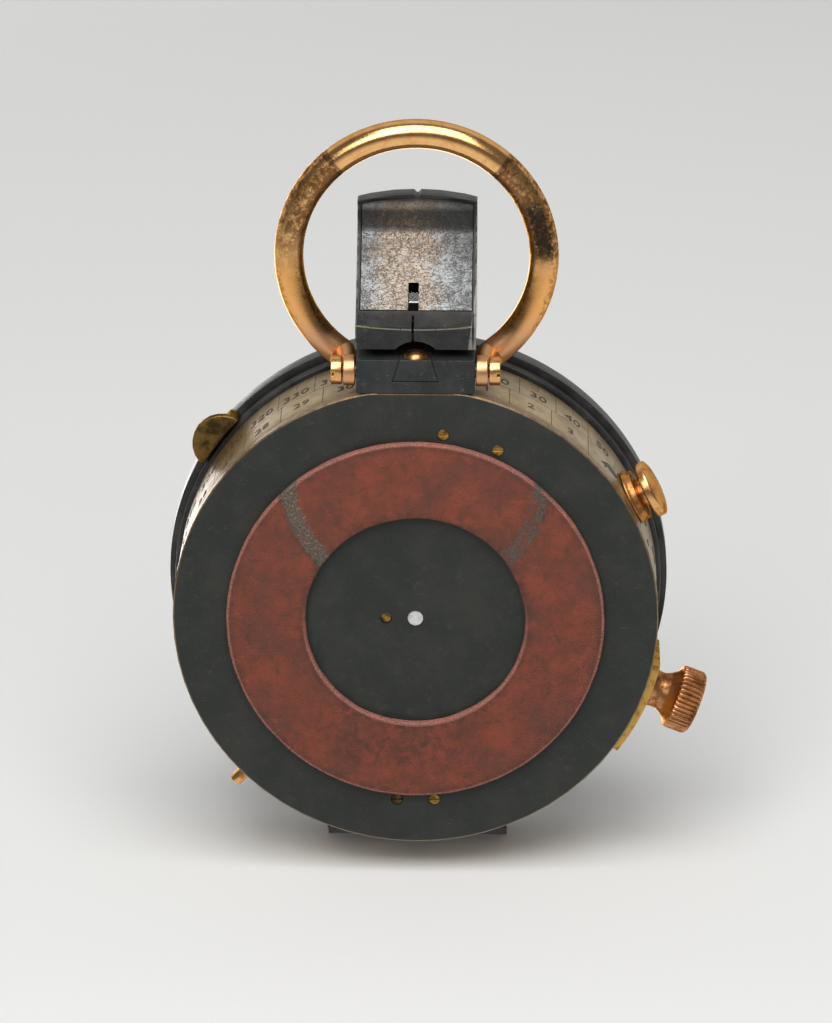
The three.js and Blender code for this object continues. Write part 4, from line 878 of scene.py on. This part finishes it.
piece("bow_ring_fine", [bow_ring(), eye(1), eye(-1)], "bow_ring", ring_gold, ["bow_ring"],
      sharp=40)
for node in ("ring_pivot_left", "ring_pivot_right"):
    softened(node, gilt, "gilt", 0.09, 3)

# %% [markdown]
# ## Button, clamp screw and plate
# Radial pieces on the right. The brake button is a shallow domed cap that goes into a drum
# shaped collar. The clamp screw has a waisted neck and a straight knurl: the radius of its head
# ripples with the angle, 40 times round, and the ripple dies out at both bevels. The plate
# behind it is a strip of sheet bent to the wall.

# %% Brake button


def radial(profile, angle, sides=128, ripple=None):
    """A turned skin whose axis points out of the case at an angle."""
    return skin(outwards(turned(profile, sides, ripple), angle))


dome = [(3.25 * math.cos(s), 29.55 + 0.7 * math.sin(s)) for s in np.linspace(0.15, math.pi / 2, 12)]
button = [(0, 23.8), (0.5, 23.8), (0.5, 25.5), (1.6, 25.5), (1.6, 28.75), (3.1, 28.75), (3.25, 28.9),
          (3.25, 29.5)] + dome
piece("brake_button_fine", [radial(broken(button, 0.09, closed=False), BUTTON_ANGLE)], "brake_button",
      gilt, ["brake_button"], sharp=50)
guide = [(1.68, 26.95), (3.15, 26.95), (3.15, 27.15), (3.02, 27.28), (2.92, 27.45), (2.86, 27.65),
         (2.84, 27.95), (1.68, 27.95)]
piece("button_guide_fine", [radial(broken(guide, 0.08), BUTTON_ANGLE)], "case", collar_gilt,
      ["button_guide"], sharp=50)

# %% Clamp screw and its plate


def knurl(t, r, h):
    """0.22 (|cos 20 t| - 1) on the head's side, where the radius is near its full 3.65."""
    side = np.clip((r - 3.45) / 0.15, 0, 1)
    return side * 0.22 * (np.abs(np.cos(20 * t)) - 1)


neck = [(0, 25.15), (1.1, 25.15), (1.1, 28.1), (2.27, 28.1), (2.12, 28.5), (2.05, 29.0), (2.07, 29.5),
        (2.32, 30.1), (2.72, 30.6), (3.2, 31.0)]
head = [(3.5, 31.05), (3.65, 31.35), (3.65, 33.4), (3.5, 33.65), (3.25, 33.8), (1.0, 33.8), (0, 33.78)]
piece("clamp_screw_fine", [radial(broken(neck + head, 0.14, closed=False), CLAMP_ANGLE, 640, knurl)],
      "clamp_screw", copper_gilt, ["clamp_screw"], sharp=50)


def wall_plate(angle, half_angle, inner, outer, low, high):
    """Points (r cos t, r sin t, h) of a rounded rectangle of (r, h) carried round the wall. Near
    both ends it shrinks to its middle, which closes them."""
    section = broken([(inner, low), (outer, low), (outer, high), (inner, high)], 0.16, 5)
    middle = section.mean(0)
    turn = np.radians(np.linspace(angle - half_angle, angle + half_angle, 60))
    shrink = np.concatenate([[0, 0.9, 0.97], np.ones(54), [0.97, 0.9, 0]])[:, None, None]
    turn[:3], turn[-3:] = turn[0], turn[-1]
    turn[1:3] += (0.0004, 0.002)
    turn[-3:-1] -= (0.002, 0.0004)
    rh = middle + (section[None] - middle) * shrink
    c, s = np.cos(turn)[:, None], np.sin(turn)[:, None]
    return skin(np.stack([rh[..., 0] * c, rh[..., 0] * s, rh[..., 1]], -1), wrap_rows=False)


piece("clamp_plate_fine", [wall_plate(24.7, 11.7, 26.95, 28.05, 3.0, 11.4)], "case", plate_brass,
      ["clamp_plate"])

# %% [markdown]
# ## Bezel, lid and glasses
# Four plain turnings and two discs. The glass is clear and slightly green at its edge, held by a
# wire in the bezel and by a flat ring in the lid.

# %% Bezel and lid
bezel = [(23.0, 10.6), (23.8, 10.6), (23.8, 13.5), (27.2, 13.5), (27.4, 13.7), (27.4, 14.7),
         (27.2, 14.9), (24.95, 14.9), (24.95, 13.9), (23.0, 13.9)]
lid = [(21.0, 16.8), (26.6, 16.8), (26.6, 15.2), (28.1, 15.2), (28.1, 17.55), (27.65, 18.0),
       (21.0, 18.0)]
keeper = [(22.2, 15.25), (26.55, 15.25), (26.55, 16.75), (23.55, 16.75), (23.55, 15.65), (22.2, 15.65)]
wire = [(24.0, 14.7), (24.9, 14.7), (24.9, 14.86), (24.0, 14.86)]
for name, node, body, profile, edge, sides, finish, slot in (
        ("bezel_fine", "bezel_ring", "bezel", bezel, 0.08, 320, lid_black, "bronzed"),
        ("lid_fine", "lid_frame", "lid", lid, 0.12, 320, lid_black, "bronzed"),
        ("lid_glass_ring_fine", "lid_glass_ring", "lid", keeper, 0.06, 320, lid_black, "bronzed"),
        ("glass_ring_fine", "glass_ring", "bezel", wire, 0.05, 256, old_brass, "aged_brass")):
    piece(name, [skin(turned(broken(profile, edge), sides))], body, finish, [node])


def disc(radius, low, high):
    """A flat turned disc; its profile starts and ends on the axis."""
    profile = [(0, low), (radius, low), (radius, high), (0, high)]
    return skin(turned(broken(profile, 0.08, closed=False), 192), wrap_columns=False)


piece("bezel_glass_fine", [disc(24.9, 13.9, 14.7)], "bezel", glass_clear, ["bezel_glass"])
piece("lid_glass_fine", [disc(23.5, 15.7, 16.75)], "lid", glass_clear, ["lid_glass"])

# %% [markdown]
# ## Card, hub and magnets
# The card is a thin ring on a turned hub. Its numbers are real letters lying on it, read from
# the middle, with the four quarter letters inside them; north stands close to the hub, under
# its pointer.

# %% Card
rim = [(1.2, 8.9), (21.5, 8.9), (21.5, 9.25), (1.2, 9.25)]
piece("card_fine", [skin(turned(broken(rim, 0.05), 256))], "card", dial_white, ["compass_card"])
hub = [(0, 8.85), (0.75, 7.8), (1.6, 7.8), (1.6, 8.85), (1.15, 8.85), (1.15, 9.4), (0.6, 9.8), (0, 9.8)]
piece("card_hub_fine", [skin(turned(broken(hub, 0.07, closed=False), 64), wrap_columns=False)], "card",
      gilt, ["card_hub"], sharp=45)
LETTER_TOP = 9.265


def on_card(points, bearing, radius):
    """The word's foot points to the middle of the card; y of the word goes outwards."""
    turn = math.radians(90 - bearing)
    out = np.array([math.cos(turn), math.sin(turn)])
    across = np.array([math.sin(turn), -math.cos(turn)])
    plan = points[:, :1] * across + (radius + points[:, 1:2]) * out
    return np.concatenate([plan, LETTER_TOP + points[:, 2:]], 1)


small = lettering(degrees, 1.9)
big = lettering("NESW", 3.6)
words = [(on_card(small[w][0], 10 * k, 17.2), small[w][1]) for k, w in enumerate(degrees)]
for k, word in enumerate("NESW"):
    flat, faces = big[word]
    words.append((on_card(flat, 90 * k, 11.2 if k else 3.6), faces))
piece("card_numbers", words, "card", ink_black, sharp=LETTER_SHARP)

# %% [markdown]
# ## Everything milled
# The rest keeps its CAD shape with broken edges: hinge blocks, the prism box, lugs, screws, the
# brake and the lifter. A row holds nodes, their finish and slot, and the width of their edges
# in millimetres; some add the bevel's segments and the angle that counts as sharp.

# %% Milled pieces
for nodes, finish, slot, *edge in (
        ("hinge_block focus_slide prism_lug_left prism_lug_right", block_black, "bronzed", 0.07),
        ("prism_housing", prism_black, "bronzed", 0.07),
        ("prism_cover", cover_silver, "worn_cover", 0.05),
        ("lid_strap", lid_black, "bronzed", 0.1),
        ("lid_hinge_block", shaded_ear_black, "bronzed", 0.1),
        ("focus_stud", copper_gilt, "gilt", 0, 2, 50),
        ("thumb_tab", old_brass, "aged_brass", 0.12, 3),
        ("stop_screw", gilt, "aged_brass", 0.07),
        ("base_screw_1 base_screw_2 base_screw_4 leaf_rivet", screw_brass, "aged_brass", 0.05),
        ("base_screw_3", old_brass, "aged_brass", 0.05),
        ("pivot_foot", foot_metal, "white_metal", 0.06),
        ("brake_leaf brake_arm clamp_shoe", old_brass, "aged_brass", 0.04),
        ("lifter_lever lifter_bracket lifter_pin", old_brass, "aged_brass", 0.04),
        ("prism_hinge_pin lid_hinge_pin", old_brass, "aged_brass", 0.04),
        ("pivot_point hairline lifter_pivot", dark_steel, "dark_steel", 0),
        ("magnet_left magnet_right", magnet_steel, "dark_steel", 0.1),
        ("prism_glass", prism_clear, "glass", 0.05),
        ("eye_lens field_lens", glass_clear, "glass", 0.05)):
    for node in nodes.split():
        softened(node, finish, slot, *edge)

# %% [markdown]
# ## Camera
# The portrait looks along the compass axis from below, tipped by 20.6 degrees, from 700 mm away.
# The camera's three directions are worked out as plain vectors: c points from the object to the
# camera, u is up in the picture and r is right.

# %% Camera
PHOTO_HEIGHT, FOCAL_LENGTH = 1023, 6310.4  # pixels
DISTANCE = 700
tilt, swing = math.radians(20.573), math.radians(1.299)
c = Vector((math.sin(swing) * math.cos(tilt), -math.sin(tilt), -math.cos(swing) * math.cos(tilt)))
u = Vector((0, -1, 0))
u = (u - c * u.dot(c)).normalized()
r = u.cross(c)
eye_data = bpy.data.cameras.new("portrait")
eye_data.sensor_fit = "VERTICAL"
eye_data.sensor_height = 36
eye_data.lens = FOCAL_LENGTH * eye_data.sensor_height / PHOTO_HEIGHT
eye_data.clip_start, eye_data.clip_end = 0.05, 20
camera = placed("portrait", eye_data)
seat = Vector(AXIS) + (r * 0.092 + u * 12.26 + c * DISTANCE) / MM
camera.matrix_world = Matrix((
    (r.x, u.x, c.x, seat.x), (r.y, u.y, c.y, seat.y), (r.z, u.z, c.z, seat.z), (0, 0, 0, 1)))
bpy.context.scene.camera = camera
print("camera at", tuple(seat))

# %% [markdown]
# ## Floor, light and surroundings
# In the portrait the compass stands on the knuckle of its lid hinge, so the floor is a plane
# square to Y just beyond it. For views of the compass lying down a second pale floor lies under
# the leather. Both are floors from their own side and nothing from behind. From above, the
# portrait's floor stands in front of an opened lid. It runs up into a paper sweep: for the camera
# alone it gets paler with the distance, where the lamps fall off. The world is the same paper
# for what metal mirrors; everything else is lit by an even white and three soft lamps.

# %% Floors
FLOOR_Y = 30.85


def floor(name, corners, grey, glow=()):
    """A pale floor that is clear from behind; glow has (height in mm, grey) for the camera."""
    f = Finish(name, base_color=grey, roughness=0.9)
    mesh = bpy.data.meshes.new(name)
    mesh.from_pydata((np.array(corners) / MM + AXIS).tolist(), [], [(0, 1, 2, 3)])
    mesh.materials.append(f.material)
    face = Wire(f, f.shader.outputs[0])
    if glow:
        paler = f.gradient(f.z, [(height, paint(level, level, level)) for height, level in glow])
        camera_ray = f.named("ShaderNodeLightPath")["Is Camera Ray"]
        light = f.node("ShaderNodeEmission", {}, [paler, camera_ray])[0]
        face = f.node("ShaderNodeAddShader", {}, [face, light])[0]
    clear = f.node("ShaderNodeBsdfTransparent", {}, [])[0]
    behind = f.named("ShaderNodeNewGeometry")["Backfacing"]
    both = f.node("ShaderNodeMixShader", {}, [behind, face, clear])[0]
    f.graph.links.new(both.socket, f.graph.nodes["Material Output"].inputs["Surface"])
    thing = placed(name, mesh)
    thing.visible_shadow = thing.visible_diffuse = thing.visible_glossy = False


floor("floor_below", [(-900, -900, -0.05), (900, -900, -0.05), (900, 900, -0.05), (-900, 900, -0.05)],
      paint(236, 236, 234))
floor("floor_of_portrait",
      [(-400, FLOOR_Y, 500), (-400, FLOOR_Y, -400), (400, FLOOR_Y, -400), (400, FLOOR_Y, 500)],
      paint(241, 241, 239), ((-20, 0), (50, 67), (100, 85), (150, 100), (250, 116), (320, 121)))

# %% World
world = bpy.data.worlds.new("paper_sweep")
bpy.context.scene.world = world
world.use_nodes = True
world.node_tree.nodes.clear()
sky = Tree(world.node_tree)
toward = sky.node("ShaderNodeTexCoord", {}, [])[0]
x, y, z = sky.node("ShaderNodeSeparateXYZ", {}, [toward])
greys = ((0, 211), (0.5, 222), (0.75, 224), (0.86, 232), (1, 235))
paper = sky.gradient(y, [(0.275 + 0.152 * share, paint(grey, grey, grey - 2)) for share, grey in greys])
pale = y.ramp(-0.05, 0.30).at_least(z.ramp(0.05, 0.45))
room = sky.mix(pale, paint(104, 103, 101), paper)
rays = sky.named("ShaderNodeLightPath")
mirrored = rays["Is Glossy Ray"].at_least(rays["Is Camera Ray"]).at_least(rays["Is Transmission Ray"])
seen = sky.node("ShaderNodeBackground", {}, [room, 1.0])[0]
even = sky.node("ShaderNodeBackground", {}, [(1, 1, 1, 1), 0.28])[0]
both = sky.node("ShaderNodeMixShader", {}, [mirrored, even, seen])[0]
sky.node("ShaderNodeOutputWorld", {}, [both])

# %% Lamps


def lamp(name, place, target, size, power):
    """A square area lamp at a place in axis millimetres, turned to look at a target."""
    data = bpy.data.lights.new(name, "AREA")
    data.shape = "SQUARE"
    data.size = size / MM
    data.energy = power
    start, end = (Vector(point) / MM + Vector(AXIS) for point in (place, target))
    turn = (start - end).to_track_quat("Z", "Y").to_matrix().to_4x4()
    placed(name, data).matrix_world = Matrix.Translation(start) @ turn


lamp("top_lamp", (10, -370, -210), (0, -10, 5), 360, 1.5)
lamp("front_lamp", (-170, -360, -400), (0, 0, 5), 260, 0.62)
lamp("dial_lamp", (-120, 160, 420), (0, 0, 15), 300, 1.3)

# %% Finish
bpy.context.scene.view_settings.view_transform = "Standard"
